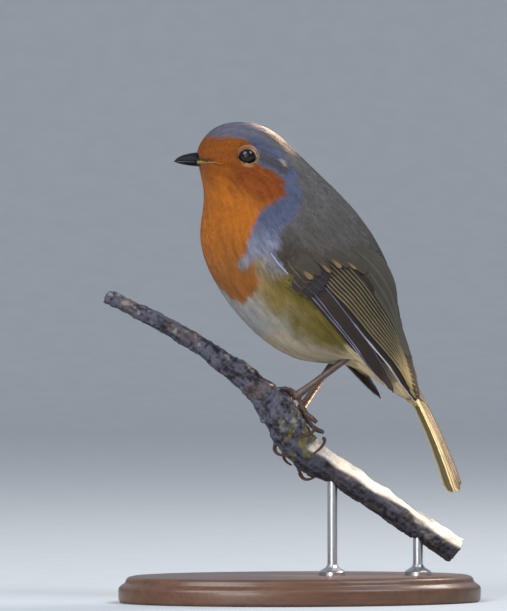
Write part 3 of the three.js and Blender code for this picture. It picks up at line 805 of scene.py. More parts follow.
# %% Feathers of the left wing
# Edges of the folded wing in side view, as (x, z) from the bend towards the tips.
OUTER_EDGE = [(-5.6, 96.8), (1.0, 90.0), (6.4, 84.0), (12.8, 77.0), (19.0, 70.2), (23.8, 65.3), (26.8, 62.6)]
MIDDLE_EDGE = [(3.4, 93.4), (9.0, 88.0), (12.2, 84.6), (18.2, 77.9), (24.8, 71.2), (32.4, 61.4), (35.8, 56.0)]
STRIPE_LOW = [(1.0, 97.6), (5.0, 94.0), (10.3, 89.3), (13.5, 85.9), (19.5, 79.2), (26.1, 72.5),
              (31.0, 66.0), (34.0, 60.2)]
STRIPE_HIGH = [(8.5, 103.2), (13.9, 98.3), (20.4, 90.0), (25.4, 82.6), (28.0, 76.6), (29.4, 73.0)]
TERTIAL_HIGH = [(14.0, 105.0), (19.5, 100.5), (24.0, 94.0), (26.4, 87.0), (28.4, 80.4), (30.6, 74.4)]
NO_EDGE = ((0, 1), (0.3, 1))  # the part of a web's pattern without its pale edge


def outer_primaries():
    """A short group of feathers below the rest, which ends in a point of its own."""
    made = [vane(smooth_line(OUTER_EDGE, 12)[:8] - [0.2, 0.35], 2.4, 0.2, tip=0.3, zone=NO_EDGE)]
    for i in range(3):
        lower = [(x + 0.3 + 0.1 * i * (5 - k), z + 0.25 + 0.11 * i * (5 - k))
                 for k, (x, z) in enumerate(OUTER_EDGE)]
        made.append(vane(lower, 3.2 + 0.3 * i, 0.3 + 0.1 * i, tip=0.36, shaft=0.12, point=1.4,
                         zone=((0, 1), ((0, 0.3, 0.05)[i], 1))))
    return made


def primaries():
    """The long group that makes the wing's point."""
    made = []
    for i in range(5):
        lower = between(MIDDLE_EDGE, [(x + 1.2, z + 1.9) for x, z in MIDDLE_EDGE], i / 4)
        lower = smooth_line(lower, 60)[: int(60 - 2.4 * i)][::6]
        made.append(vane(lower, 3.8, 0.25 + 0.03 * i, tip=0.26, point=1.6, shaft=0.2,
                         zone=((0, 1), (min(i, 1) * 0.25, 1))))
    return made


def bend_edge():
    """The narrow white rim at the front of the wing's bend."""
    line = [(-11.4, 104.3), (-9.2, 101.3), (-6.4, 98.2)]
    return [vane(line, 0.4, 1.2, tip=0.5, columns=7, zone=((0, 0.9), (0, 0.02)))]


def secondaries():
    """Inner flight feathers: narrow pale edges, each over the one below."""
    return [vane(between(STRIPE_LOW, STRIPE_HIGH, i / 9), 4.2 - 0.24 * i, 0.8 + 0.08 * i,
                 tip=0.08, arch=0.04, sink=0.15) for i in range(9)]


def tertials():
    """The three broad innermost feathers, which lie on top of the folded wing."""
    return [vane(between(STRIPE_HIGH, TERTIAL_HIGH, i / 2.4), 4.6, 1.55 + 0.1 * i,
                 tip=0.16, arch=0.05, sink=0.9) for i in range(3)]


def covert(tip_place, length, width, lift, angle, **more):
    """A short feather whose tip lies at an (x, z) place."""
    heading = np.array([math.cos(math.radians(angle)), math.sin(math.radians(angle))])
    side = np.array([-heading[1], heading[0]])
    t = np.linspace(0, 1, 5)[:, None]
    line = np.array(tip_place) - heading * length * (1 - t) - side * width / 2
    return vane(line, width, lift, tip=0.34, rows=24, columns=9, shaft=0.45, **more)


def covert_row(tips, length, width, lift, angle, sink):
    """A row of short feathers, each a little higher than the one before."""
    return [covert(tip, length, width, lift + 0.08 * i, angle, sink=sink, arch=0.06)
            for i, tip in enumerate(tips)]


def greater_coverts():
    """Brown feathers over the roots of the stripes. Four of them end in a pale wedge."""
    # The place of each tip, the width, and whether it is spotted.
    feathers = [((0.5, 97.3), 3.2, True), ((2.6, 98.2), 2.6, False), ((5.5, 98.8), 1.7, True),
                ((8.8, 100.0), 2.4, True), ((11.2, 100.2), 2.8, False), ((13.4, 99.3), 1.8, True),
                ((16.4, 98.4), 3.2, False)]
    return [covert(tip, 8.5, width, 1.7 + 0.03 * i, -44, sink=1.3, arch=0.05,
                   zone=((0, 1 if spotted else 0.5), (0, 1)))
            for i, (tip, width, spotted) in enumerate(feathers)]


# Blackish feathers over the roots of the primaries, and small brown ones below the wing's bend.
DARK_TIPS = [(0.6, 91.8), (2.2, 92.6), (3.8, 93.6), (4.8, 95.2), (5.2, 97.0)]
THUMB_TIPS = [(-2.4, 92.9), (-1.4, 94.4), (-0.6, 96.0), (1.0, 96.8)]
# For each group: its feathers, the solid that they dress, the name of their webs, the colours of web,
# edge and tip, and the share of the web that edge and tip take up.
WING_PARTS = {
    # the outer primaries' edge is blue-white: their pale fringe with a painted sky highlight on it
    "outer_primaries": (outer_primaries(), "primaries", "outer_webs",
                        (44, 36, 32), (140, 142, 168), (70, 58, 48), 0.12, 0.02),
    "primaries": (primaries(), "primaries", "primary_webs",
                  (36, 30, 28), (176, 172, 176), (62, 50, 42), 0.14, 0.02),
    "bend_edge": (bend_edge(), "coverts", "bend_webs",
                  (110, 110, 118), (132, 134, 146), (120, 120, 128), 0.3, 0.02),
    "secondaries": (secondaries(), "secondaries", "secondary_webs",
                    (34, 29, 24), (108, 96, 68), (108, 96, 68), 0.16, 0.01),
    "tertials": (tertials(), "secondaries", "tertial_webs",
                 (54, 50, 42), (70, 64, 52), (72, 66, 52), 0.3, 0.04),
    "greater_coverts": (greater_coverts(), "coverts", "covert_webs",
                        (56, 50, 43), (64, 56, 47), (116, 92, 58), 0.2, 0.55),
    "dark_coverts": (covert_row(DARK_TIPS, 8, 2.6, 1.05, -47, 0.6), "coverts", "dark_covert_webs",
                     (36, 33, 36), (62, 54, 48), (50, 46, 48), 0.14, 0.04),
    "thumb_feathers": (covert_row(THUMB_TIPS, 9.0, 2.4, 1.2, -48, 0.8), "coverts", "thumb_webs",
                       (52, 45, 40), (84, 74, 56), (70, 60, 48), 0.2, 0.1),
}
DROOP = 0.05  # radians that the right wing's outer primaries hang lower
BEND = np.array([-12.0, 105.3])


def drooped(points):
    """The right wing's primaries hang a little lower about the bend."""
    flat = points[:, [0, 2]] - BEND
    turn = np.array([[math.cos(DROOP), -math.sin(DROOP)], [math.sin(DROOP), math.cos(DROOP)]])
    flat = flat @ turn + BEND
    return np.column_stack([flat[:, 0], points[:, 1], flat[:, 1]])


def feather_piece(name, shapes, finish, *nodes, slot, smooth=False):
    """A piece of long feathers, whose material reads their vane places."""
    points, places, faces = shapes
    piece = new_piece(name, points, faces, finish, smooth=smooth)
    give(piece, "vane", places)
    settle(piece, *nodes, slot=slot)


for part, (vanes, node, *look) in WING_PARTS.items():
    points, places, faces = stack(vanes)
    finish = vane_material(*look)
    for side, way in SIDES:
        placed = points * [1, -way, 1]
        if (side, part) == ("right", "outer_primaries"):
            placed = drooped(placed)
        feather_piece(f"{part}_{side}", (placed, places, faces[:, ::-way]), finish,
                      f"wing_{side}_{node}", slot="wing_feathers")

# %% [markdown]
# ## Tail
# Twelve feathers fan out from the rump. Closed, they lie nearly on top of each other, and the fan
# arches like a shallow roof. One plate would do from far away, but its end would look sawn. Twelve
# vanes give the ragged end and the fine lines along it.

# %% Twelve tail feathers
tail_start, tail_end = node_box("tail_centre")
TAIL_BASE = np.array([tail_start[0] + 0.6, 0.0, tail_end[2] - 0.3])
TAIL_TIP = np.array([tail_end[0] - 0.2, 0.0, tail_start[2] - 0.2])
TAIL_LENGTH = 37


def along_tail(flat, lift):
    """Places in millimetres along and across the tail fan, raised from its arch."""
    run = TAIL_TIP - TAIL_BASE
    dorsal = unit(np.array([-run[2], 0.0, run[0]]))
    along, across = (flat / [TAIL_LENGTH, 1]).T
    share = across / 8.2
    rise = 1.2 - 4.0 * np.abs(share) ** 1.5 + np.sin(np.clip(along, 0, 1) * math.pi)
    place = TAIL_BASE + along[:, None] * run + (rise + lift)[:, None] * dorsal
    return place + across[:, None] * np.array([0, 1, 0])


def tail_vane(i):
    """One tail feather. They are numbered from the middle pair outwards on both sides."""
    side, rank = (-1, 1)[i % 2], i // 2
    spread = side * (rank + 0.35) / 6
    width = blend(4.4, 3.4, rank / 5)
    root, end = spread * 3.6, spread * 6.6
    reach = 1.0 - 0.012 * (5 - rank) + 0.02 * math.sin(i * 2.3)
    line = [(0.0, root), (0.5 * reach, blend(root, end, 0.55)), (reach, end)]
    line = smooth_line([(share * TAIL_LENGTH, across - width / 2) for share, across in line], 6)
    return vane(line, width, 0.42 - 0.15 * rank, tip=0.1, rows=40,
                lay=along_tail, zone=((0, 1), (0, 1) if side < 0 else (1, 0)))


def tail_covert(i, above):
    """A soft feather that covers the root of the tail, above or below it."""
    across = (i - 3) * (1.0 if above else 1.5)
    end = 0.3 - 0.025 * abs(i - 3) + 0.02 * math.sin(i * 3.1)
    line = [(-0.22 * TAIL_LENGTH, across * 0.7 - 1.6), (0.05 * TAIL_LENGTH, across - 1.8),
            (end * TAIL_LENGTH, across * 1.1 - 1.2)]
    lift = (0.62 - 0.05 * abs(i - 3)) if above else (-0.75 - 0.1 * (3 - abs(i - 3)))
    return vane(line, 3.4, lift, tip=0.3, rows=30, shaft=0.5, lay=along_tail)


# For each part: its feathers, the solids that they dress, and the look of their webs.
TAIL_PARTS = {
    "tail_middle": ([tail_vane(i) for i in range(8)], ["tail_centre"], "tail_webs",
                    (74, 62, 50), (156, 138, 110), (126, 98, 72), 0.08, 0.03),
    "tail_sides": ([tail_vane(i) for i in range(8, 12)], ["tail_left", "tail_right"], "tail_edge_webs",
                   (104, 90, 66), (170, 158, 116), (140, 108, 78), 0.2, 0.03),
    "upper_tail_coverts": ([tail_covert(i, True) for i in range(7)], [], "rump_webs",
                           (84, 75, 62), (98, 88, 72), (98, 88, 72), 0.3, 0.1),
    "under_tail_coverts": ([tail_covert(i, False) for i in range(7)], [], "vent_webs",
                           (172, 156, 116), (190, 176, 138), (190, 176, 138), 0.3, 0.1),
}
for name, (vanes, nodes, *look) in TAIL_PARTS.items():
    feather_piece(name, stack(vanes), vane_material(*look), *nodes, slot="tail_feathers", smooth=not nodes)

# %% [markdown]
# ## Body feathers
# The small feathers of the body have loose barbs at their ends, so the plumage looks soft and
# hair-like. Particle hair would be quick, but it is lost when the model is saved as a mesh. So each
# feather here is a tuft: a fan of thin solid barbs that start from one root, follow the surface
# downstream and overlap the next ones. Barbs are three-sided, and taper to a point.

# %% Where the tufts grow
rng = np.random.default_rng(11)
SPACING = 0.98


def even_spots(points, faces, spacing):
    """Evenly scattered places on a surface, with their smooth normals."""
    a, b, c = (points[faces[:, i]] for i in range(3))
    area = np.linalg.norm(np.cross(b - a, c - a), axis=1) / 2
    count = int(area.sum() * 14 / spacing**2)
    face = rng.choice(len(faces), count, p=area / area.sum())
    share = rng.random((count, 2))
    share = np.where(share.sum(axis=1, keepdims=True) > 1, 1 - share, share)
    weight = np.column_stack([1 - share.sum(axis=1), share])[:, :, None]
    place = np.sum(points[faces[face]] * weight, axis=1)
    normal = unit(np.sum(point_normals(points, faces)[faces[face]] * weight, axis=1))
    spread = spacing * tuft_spacing(place)
    cell = np.floor(place / spread[:, None]).astype(np.int64)
    level = np.round(np.log2(tuft_spacing(place)) * 4).astype(np.int64)
    key = cell @ PRIMES + level * 7919
    keep = np.unique(key, return_index=True)[1]
    return place[keep], normal[keep]


def tuft_spacing(points):
    """Tufts sit closer together on the face, in steps."""
    away = np.linalg.norm(points - BILL_ROOT, axis=1)
    steps = np.round(soft_step(away, 6, 34) * 4) / 4
    return blend(0.62, 1.0, steps)


def tuft_length(points):
    """Feathers are short round the bill and on the coverts, and long on the flanks and below the tail."""
    away = np.linalg.norm(points - BILL_ROOT, axis=1)
    length = blend(1.8, 5.8, soft_step(away, 2, 40)) + 1.6 * soft_step(away, 50, 85)
    lesser = soft_step(inside_distance(LESSER, points[:, [0, 2]]), -2, 1)
    return length * blend(1.0, 0.62, lesser)


roots, root_normals = even_spots(skin_points, skin_faces, SPACING)
print("places for tufts:", len(roots))

# %% No tufts on the eyes, the bill and under the wings
flat = roots[:, [0, 2]]
folded = np.column_stack([roots[:, 0], -np.abs(roots[:, 1]), roots[:, 2]])  # all seen on the left side
eye_away = np.linalg.norm(folded - EYE, axis=1)
bill_away = np.hypot(roots[:, 1], roots[:, 2] - BILL_ROOT[2])
shown = (inside_distance(UNDER_WING, flat) < 0.7 * noise(roots, 1.5, 41)) | (np.abs(roots[:, 1]) < 3)
shown &= eye_away > EYE_RADIUS + 0.35
shown &= (roots[:, 0] > BILL_ROOT[0] + 0.2) | (bill_away > 1.9)
gape_away = np.abs(roots[:, 2] - BILL_ROOT[2] + 0.11 * (roots[:, 0] - BILL_ROOT[0]))
shown &= gape_away > 0.55 - 0.1 * (roots[:, 0] - BILL_ROOT[0])
roots, root_normals = roots[shown], root_normals[shown]
print("tufts:", len(roots))

# %% Combing the tufts over the body and the wings
STATIONS = 4


def drape_tree():
    """What the back's feathers lie on: one smooth surface over the body and both folded wings."""
    wings = [f"wing_{side}_{part}" for side, _ in SIDES for part in ("coverts", "secondaries")]
    points, faces = one_skin([*BODY, *wings], 0.9, 24, SWELL, weld=0.02)
    return BVHTree.FromPolygons(points.tolist(), faces.tolist())


skin_tree = BVHTree.FromPolygons(skin_points.tolist(), skin_faces.tolist())
over_tree = drape_tree()


def over_wing(points):
    """Tufts that start above or in front of the wing lie on it; those below it go under it."""
    return (above_wing_edge(points[:, [0, 2]]) > -60) & (points[:, 2] > 72)


def comb(points, normals, lengths):
    """Places, normals and directions at even steps downstream from each root."""
    on_wing = over_wing(points)

    def settled(spots):
        """The spots moved to what they lie on, with its normals."""
        found, facing = spots.copy(), spots.copy()
        cover = soft_step(inside_distance(UNDER_WING, spots[:, [0, 2]]), -6, 0.5)
        out = blend(fluff(spots) - coat_depth(spots), 1.0, cover) - SWELL
        for i, spot in enumerate(spots):
            tree = over_tree if on_wing[i] else skin_tree
            hit, up, _, _ = tree.find_nearest(Vector(spot))
            found[i], facing[i] = (hit + up * out[i] if on_wing[i] else hit), up
        return found, facing

    place, normal = settled(points)
    normal = unit(normal + normals)
    places, all_normals, ways = [place], [normal], [lie(place, normal)]
    for _ in range(STATIONS - 1):
        place, normal = settled(place + ways[-1] * (lengths / (STATIONS - 1))[:, None])
        normal = unit(blend(all_normals[-1], normal, 0.6))
        places.append(place)
        all_normals.append(normal)
        ways.append(lie(place, normal))
    return np.stack(places, 1), np.stack(all_normals, 1), np.stack(ways, 1)


lengths = tuft_length(roots) * rng.uniform(0.85, 1.15, len(roots))
spines, spine_normals, spine_ways = comb(roots, root_normals, lengths)
print("combed", len(spines), "tufts")

# %% Barbs
BARBS = 8
BARB_STOPS = np.array([0.0, 0.55, 1.0])
BARB_POINTS = 7  # three at the root, three further on and one at the tip


def at_share(stations, share):
    """Values between the stations of each tuft, for a share along it."""
    spot = share * (STATIONS - 1)
    low = np.clip(np.floor(spot).astype(int), 0, STATIONS - 2)
    tuft = np.arange(len(stations)).reshape(-1, *[1] * (share.ndim - 1))
    return blend(stations[tuft, low], stations[tuft, low + 1], (spot - low)[..., None])


def barbed(spines, normals, ways, lengths, heights, spread):
    """Points and triangles of the barbs of many tufts, and the place that gives each barb its colour."""
    count = len(spines)
    fan = np.linspace(-1, 1, BARBS) + rng.normal(0, 0.05, (count, BARBS))
    reach = (1 - 0.25 * fan**2) * rng.uniform(0.8, 1.04, (count, BARBS))
    share = np.clip(reach[:, :, None] * BARB_STOPS, 0, 1)
    place = at_share(spines, share)
    up = unit(at_share(normals, share))
    way = unit(at_share(ways, share))
    side = np.cross(up, way)
    rise = heights[:, None, None] * (0.12 + 0.88 * share**0.7) * (1 - 0.1 * fan**2)[:, :, None]
    uneven = 0.012 * lengths[:, None] ** 0.5 * rng.standard_normal((count, BARBS))
    rise = rise + uneven[:, :, None] * BARB_STOPS
    out = fan[:, :, None] * spread[:, None, None] * (0.7 + 0.3 * share)
    out = out + (0.05 * rng.standard_normal((count, BARBS)))[:, :, None] * BARB_STOPS**2
    centre = place + up * np.maximum(rise, 0.02)[..., None] + side * out[..., None]
    width = (0.07 + 0.014 * lengths)[:, None, None, None] * np.array([1.0, 1.0, 0.0])[:, None]
    corners = [centre - side * width, centre + side * width, centre + up * width * 0.25]
    rings = np.stack(corners, axis=3)  # tuft, barb, stop, corner, xyz
    points = np.concatenate([rings[:, :, 0], rings[:, :, 1], centre[:, :, 2:3]], axis=2)
    face = np.array([[0, 2, 1], [0, 1, 4], [0, 4, 3], [1, 2, 5], [1, 5, 4], [2, 0, 3], [2, 3, 5],
                     [3, 4, 6], [4, 5, 6], [5, 3, 6]])
    start = np.arange(count * BARBS)[:, None, None] * BARB_POINTS
    middles = blend(centre[:, :, 1], centre[:, :, 2], 0.3)
    return points.reshape(-1, 3), (start + face).reshape(-1, 3), middles


def barb_colours(middles, seed):
    """Each barb has the colour of the place that it covers, with a darker root: the greyer down at a
    feather's base and painted shade where tufts overlap.
    """
    base = plumage_colour(middles.reshape(-1, 3)).reshape(middles.shape)
    own = np.random.default_rng(seed)
    away = (middles[:, 0][:, [0, 2]] - [-12.5, 104]) / [6, 9]
    wispy = np.exp(-np.sum(away**2, axis=1))[:, None, None, None]
    tuft = 1 + (0.05 + 0.13 * wispy) * own.standard_normal((len(base), 1, 1, 1))
    barb = own.normal(1, 0.07, (len(base), BARBS, 1, 1))
    # darker roots: greyer down at the base, with painted shade between overlapping tufts
    depth = np.array([0.92, 0.92, 0.92, 0.98, 0.98, 0.98, 1.02])[:, None]
    return np.clip(base[:, :, None] * tuft * barb * depth, 0, 1)


print("triangles in one tuft:", BARBS * 10)

# %% Patches of the bake map
PATCH = 0.003  # share of the map's width that one tuft takes


def bake_places(roots):
    """A spot for each tuft on an unwrapped half tube of the skin, and a small patch round it."""
    along, around = body_place(roots)
    span = np.ptp(along) or 1
    spot = np.column_stack([(along - along.min()) / span, around]) * 0.98 + 0.01
    fan = np.tile(np.linspace(-0.5, 0.5, BARBS)[:, None], (1, BARB_POINTS))
    rise = np.tile([-0.5, -0.5, -0.5, 0, 0, 0, 0.5], (BARBS, 1))
    patch = np.stack([fan, rise], -1).reshape(1, -1, 2) * PATCH
    return (spot[:, None] + patch).reshape(-1, 2)


def add_bake_map(piece, places):
    """Stores the bake map, one place for each corner of each face."""
    corners = np.empty(len(piece.data.loops), dtype=np.int64)
    piece.data.loops.foreach_get("vertex_index", corners)
    layer = piece.data.uv_layers.new(name="OFBake")
    layer.data.foreach_set("uv", places[corners].astype(np.float32).ravel())


# %% The coat, piece by piece
# Each part of the coat reaches over a stretch of the body line, in millimetres from the bill.
COAT_PARTS = {"face": (0, 13), "head": (13, 27), "breast": (27, 52), "flank": (52, 76), "rump": (76, 200)}
under_edge = line_distance(WING_EDGE, roots[:, [0, 2]])[0]
lift = coat_depth(roots) * 0.85 * np.where(over_wing(roots), 1, blend(0.2, 1, soft_step(under_edge, 2, 8)))
spread = 0.42 + 0.12 * lengths
along, _ = body_place(roots)
for number, (part, (start, end)) in enumerate(COAT_PARTS.items()):
    for side, way in SIDES:
        chosen = (along >= start) & (along < end) & ((roots[:, 1] < 0) == (way < 0))
        shape, faces, middles = barbed(spines[chosen], spine_normals[chosen], spine_ways[chosen],
                                       lengths[chosen], lift[chosen], spread[chosen])
        shade = barb_colours(middles, number).reshape(-1, 3)
        piece = painted_piece(f"coat_{part}_{side}", (shape, faces), plumage, shade,
                              slot="body_plumage", smooth=False)
        add_bake_map(piece, bake_places(roots[chosen]))

# %% [markdown]
# ## Bill
# A robin's bill is thin and dark, with a ridge along the top, a small nostril at the root and a
# yellowish fold of skin at the corner of the mouth. It could be carved from a cone, but a grid of
# sections with a rounded profile keeps the cutting edges crisp and the tip slightly hooked.

# %% Two halves of horn
BILL_TIP = node_box("bill_upper")[0][0] - 0.05
BILL_LINE = BILL_ROOT[2]
BILL_START = BILL_ROOT[0] + 2.4


def bill_half(up, height, width, power, hook):
    """One half of the bill as a closed tube of half-oval sections."""
    t = np.linspace(0, 1, 46)[:, None]
    turn = turns(40)
    tall = (height * (1 - t**power) ** 0.74 + 0.08) * blend(0.96, 1.0, soft_step(t, 0, 0.3))
    half = width * (1 - t) ** 0.8 + 0.1
    y = half * np.sign(np.cos(turn)) * np.abs(np.cos(turn)) ** 1.12
    arch = np.maximum(np.sin(turn), 0) ** 0.92 * tall
    floor = np.minimum(np.sin(turn), 0) * -0.12 * half
    z = BILL_LINE + up * (0.05 + arch + floor) + hook * soft_step(t, 0.88, 1)
    x = blend(BILL_START, BILL_TIP if up > 0 else BILL_TIP + 0.45, t)
    ring = np.stack([np.broadcast_to(x, y.shape), y, z], -1)
    points = np.vstack([ring.reshape(-1, 3), ring[0].mean(axis=0), ring[-1].mean(axis=0)])
    faces = tube_faces(len(t), len(turn))
    return points, faces if up < 0 else faces[:, ::-1]


def with_nostrils(points):
    """Presses an oval nostril into each side near the root of the upper half."""
    centre = np.array([BILL_ROOT[0] + 0.2, 0, BILL_LINE + 1.35])
    off = (points - centre) * [1 / 0.95, 0, 1 / 0.32]
    pit = np.exp(-np.sum(off**2, axis=1))
    return points - np.sign(points[:, 1:2]) * np.array([0, 0.5, 0]) * pit[:, None], pit


HORN = colour(15, 16, 24)
HORN_PALE = colour(40, 40, 46)
GAPE_YELLOW = colour(126, 112, 56)


def horn_material(name, roughness, grain_size):
    """Smooth horn with faint growth grain."""
    return mottled_material(name, {"Size": grain_size, "Stretch": (0.25, 1, 1)}, (60, 56, 60), 0.2,
                            0.03, 0.5, Roughness=roughness, Specular_IOR_Level=0.06)


horn = horn_material("horn", 0.28, 0.25)
# Which way each half faces, its height, width and taper, and how far its tip hooks down.
BILL_HALVES = {"bill_upper": (1, 2.75, 2.35, 2.6, -0.22), "bill_lower": (-1, 1.45, 2.15, 1.8, 0.0)}
for node, (up, *size) in BILL_HALVES.items():
    points, faces = bill_half(up, *size)
    points, pit = with_nostrils(points) if up > 0 else (points, np.zeros(len(points)))
    rim = np.exp(-(((points[:, 2] - BILL_LINE) / 0.22) ** 2))[:, None] * 0.5
    shade = blend(HORN, HORN_PALE, rim)
    fleshy = soft_step(points[:, 0], BILL_ROOT[0] - 1.4, BILL_ROOT[0] + 0.3)
    fleshy = fleshy * np.exp(-np.abs(points[:, 2] - BILL_LINE))
    shade = blend(shade, GAPE_YELLOW, np.clip(fleshy, 0, 1)[:, None] * (0.85 if up < 0 else 0.3))
    # painted shade inside the nostril pit
    shade = shade * (1 - 0.85 * pit[:, None])
    painted_piece(node + "_horn", (points, faces), horn, shade, node, slot="bill_horn")

# %% The yellow corners of the mouth
def on_skin(places, out):
    """Points pushed from the skin's surface by a distance in millimetres."""
    result = []
    for place in np.asarray(places, float):
        hit, normal, _, _ = skin_tree.find_nearest(Vector(place))
        result.append(np.array(hit) + np.array(normal) * out)
    return np.array(result)


GAPE_RINGS, GAPE_SIDES = 24, 10


def gape_fold(side):
    """A soft fold that runs back from the corner of the bill between the face feathers."""
    start = np.array([[BILL_ROOT[0] - 0.6, side * 1.9, BILL_LINE - 0.15]])
    places = [(BILL_ROOT[0] + d, side * 12, BILL_LINE - 0.11 * d) for d in range(1, 6)]
    line = smooth_line(np.vstack([start, on_skin(places, 0.5)]), GAPE_RINGS)
    return tube(line, 0.52 - 0.44 * np.linspace(0, 1, GAPE_RINGS) ** 0.8, GAPE_SIDES)


folds = joined([gape_fold(side) for _, side in SIDES])
rings_back = np.repeat(np.linspace(0, 1, GAPE_RINGS), GAPE_SIDES)
back = np.tile(np.append(rings_back, [0, 1]), 2)[:, None]
painted_piece("gape_folds", folds, horn, blend(GAPE_YELLOW, RUST, back**1.5), slot="bill_horn")

# %% [markdown]
# ## Eyes
# The eye is nearly black and very glossy, and sits deep enough that only a disc of it shows inside
# the lids. A plain ball would look like a bead. A clear bulge in front, lids that follow the ball
# and a ring of pale skin make it look set into the head.

# %% Eyeballs and lids
def two_tone_material(name, grain, low, high, **settings):
    """A smooth finish of two close colours in soft patches."""
    material, tree, shader = new_material(name, **settings)
    grain = place_group(tree, fine_grain, grain)
    feed(tree, shader, {"Base Color": mixed(tree, grain["Mask"], paint_of(*low), paint_of(*high))})
    return material


def facing(side):
    """Outward, forward and upward directions of an eye."""
    outward = unit(np.array([-0.16, side * 1.0, 0.05]))
    forward = unit(np.cross(outward, [0, 0, 1.0]) * side)
    return outward, -forward if forward[0] > 0 else forward, np.array([0, 0, 1.0])


BALL_SHARE = 0.985  # the ball's radius, next to that of its bulge


def eyeball(side):
    """A ball with a slight bulge in front."""
    outward, _, _ = facing(side)
    polar, turn = np.meshgrid(np.linspace(0, math.pi, 40)[1:-1], turns(56), indexing="ij")
    first = unit(np.cross(outward, [0.3, 0.1, 1.0]))
    second = np.cross(outward, first)
    way = (np.cos(polar)[..., None] * outward + np.sin(polar)[..., None]
           * (np.cos(turn)[..., None] * first + np.sin(turn)[..., None] * second))
    radius = EYE_RADIUS * (BALL_SHARE + 0.035 * np.exp(-((polar / 0.75) ** 2)))[..., None]
    centre = EYE * [1, -side, 1]
    ring = centre + way * radius
    ends = centre + np.array([outward, -outward]) * EYE_RADIUS * BALL_SHARE
    return np.vstack([ring.reshape(-1, 3), ends]), tube_faces(*polar.shape)


def lid(side, width, height, thickness, level, point=0.0, drop=0.5):
    """A rounded rim round the opening of the eye, drawn out to a small point in front and behind."""
    outward, forward, upward = facing(side)
    turn, around = turns(90), turns(12)
    front, rear = (np.exp(-((np.angle(np.exp(1j * (turn + off))) / 0.3) ** 2))
                   for off in (math.pi - 0.35, 0.1))
    corner = point * (front + 0.6 * rear)
    across = -(width + corner) * np.cos(turn)
    flat = np.column_stack([across, (height + 0.2 * corner) * np.sin(turn) - drop])
    out = np.sqrt(np.maximum(level**2 - np.sum(flat**2, axis=1), 0.1))
    line = EYE * [1, -side, 1] - flat[:, :1] * forward + flat[:, 1:] * upward + out[:, None] * outward
    away = unit(line - line.mean(axis=0))
    ring = (line[:, None] + thickness * (np.cos(around)[:, None] * away[:, None]
                                         + 0.8 * np.sin(around)[:, None] * outward))
    index = np.arange(len(turn) * len(around)).reshape(len(turn), len(around))
    a, b = index, np.roll(index, -1, axis=0)
    c, d = np.roll(b, -1, axis=1), np.roll(a, -1, axis=1)
    quads = np.stack([a, b, c, d], -1).reshape(-1, 4)
    return ring.reshape(-1, 3), quads if side < 0 else quads[:, ::-1]


eye_gloss = two_tone_material("eye", {"Size": 0.3}, (9, 7, 7), (18, 12, 9),
                              Roughness=0.03, Specular_IOR_Level=0.32)
lid_skin = mottled_material("eye_lid", {"Size": 0.16}, (96, 74, 58), 0.4, 0.08, Roughness=0.55)
LID_DARK = colour(40, 32, 30)
LID_ORANGE = colour(128, 74, 30)
for name, side in SIDES:
    ball = new_piece(f"eyeball_{name}", *eyeball(side), eye_gloss)
    settle(ball, f"eye_{name}", slot="eye_gloss")
    inner = lid(side, 2.5, 2.32, 0.16, EYE_RADIUS + 0.06, 0.14)
    outer = lid(side, 2.78, 2.58, 0.2, EYE_RADIUS + 0.08, 0.1)
    collar = joined([lid(side, 3.1, 2.95, 0.5, EYE_RADIUS + 0.05),
                     lid(side, 3.05, 3.0, 0.5, EYE_RADIUS + 0.1, drop=0.2),
                     lid(side, 3.1, 3.1, 0.45, EYE_RADIUS, drop=0.0)])
    rear = step_up(outer[0][:, 0] - EYE[0] - 0.7 * (outer[0][:, 2] - EYE[2]), -2.5, 1.0)
    shade = np.vstack([np.tile(LID_DARK, (len(inner[0]), 1)), blend(LID_ORANGE, RING, rear),
                       plumage_colour(collar[0])])
    painted_piece(f"lids_{name}", joined([inner, outer, collar]), lid_skin, shade, slot="eye_gloss")

# %% [markdown]
# ## Feet
# Thin dark legs come out of the belly feathers and end in three front toes and one hind toe that
# grip the twig. Their solids have few sides, so each foot is remeshed as one skin, smoothed, and
# marked with the shallow joints of its scales. The claws stay separate and get smooth curves.

# %% Scaly feet
FOOT_SWELL = 0.2
LEG_BROWN = colour(72, 59, 54)
LEG_DARK = colour(50, 39, 35)
CLAW_BROWN = colour(74, 52, 42)


def each_toe(kind, side):
    """The names of the four toes or claws of a foot."""
    return [f"{kind}_{side}_{toe}" for toe in ("hind", "inner", "middle", "outer")]


def foot(side):
    """One foot as a smooth skin, with its scales pressed in along the leg and round the toes."""
    points, faces = one_skin([f"leg_{side}", *each_toe("toe", side)], 0.21, 7, FOOT_SWELL)
    normals = point_normals(points, faces)
    low, high = node_box(f"leg_{side}")
    ankle = np.array([low[0] + 1.6, (low[1] + high[1]) / 2, low[2] + 2.0])
    away = np.linalg.norm(points - ankle, axis=1)
    step = np.where(away > 5, 1.25, 0.72)
    phase = np.abs((away / step) % 1 - 0.5) * 2
    joint = np.exp(-(((1 - phase) / 0.16) ** 2))
    rough = noise(points, 0.5, 21)
    points = points - normals * (FOOT_SWELL * 0.8 + 0.055 * joint + 0.03 * rough)[:, None]
    dark = np.clip(0.35 + 0.4 * joint + 0.35 * noise(points, 1.6, 22), 0, 1)[:, None]
    return points, faces, blend(LEG_BROWN, LEG_DARK, dark)


def claws(side):
    """The four claws of a foot, rounded."""
    points, faces = reshaped(*node_arrays(*each_toe("claw", side)),
                             ("WELD", {"merge_threshold": 0.01 * MM}), ("SUBSURF", {"levels": 2}))
    return points + point_normals(points, faces) * 0.16, faces


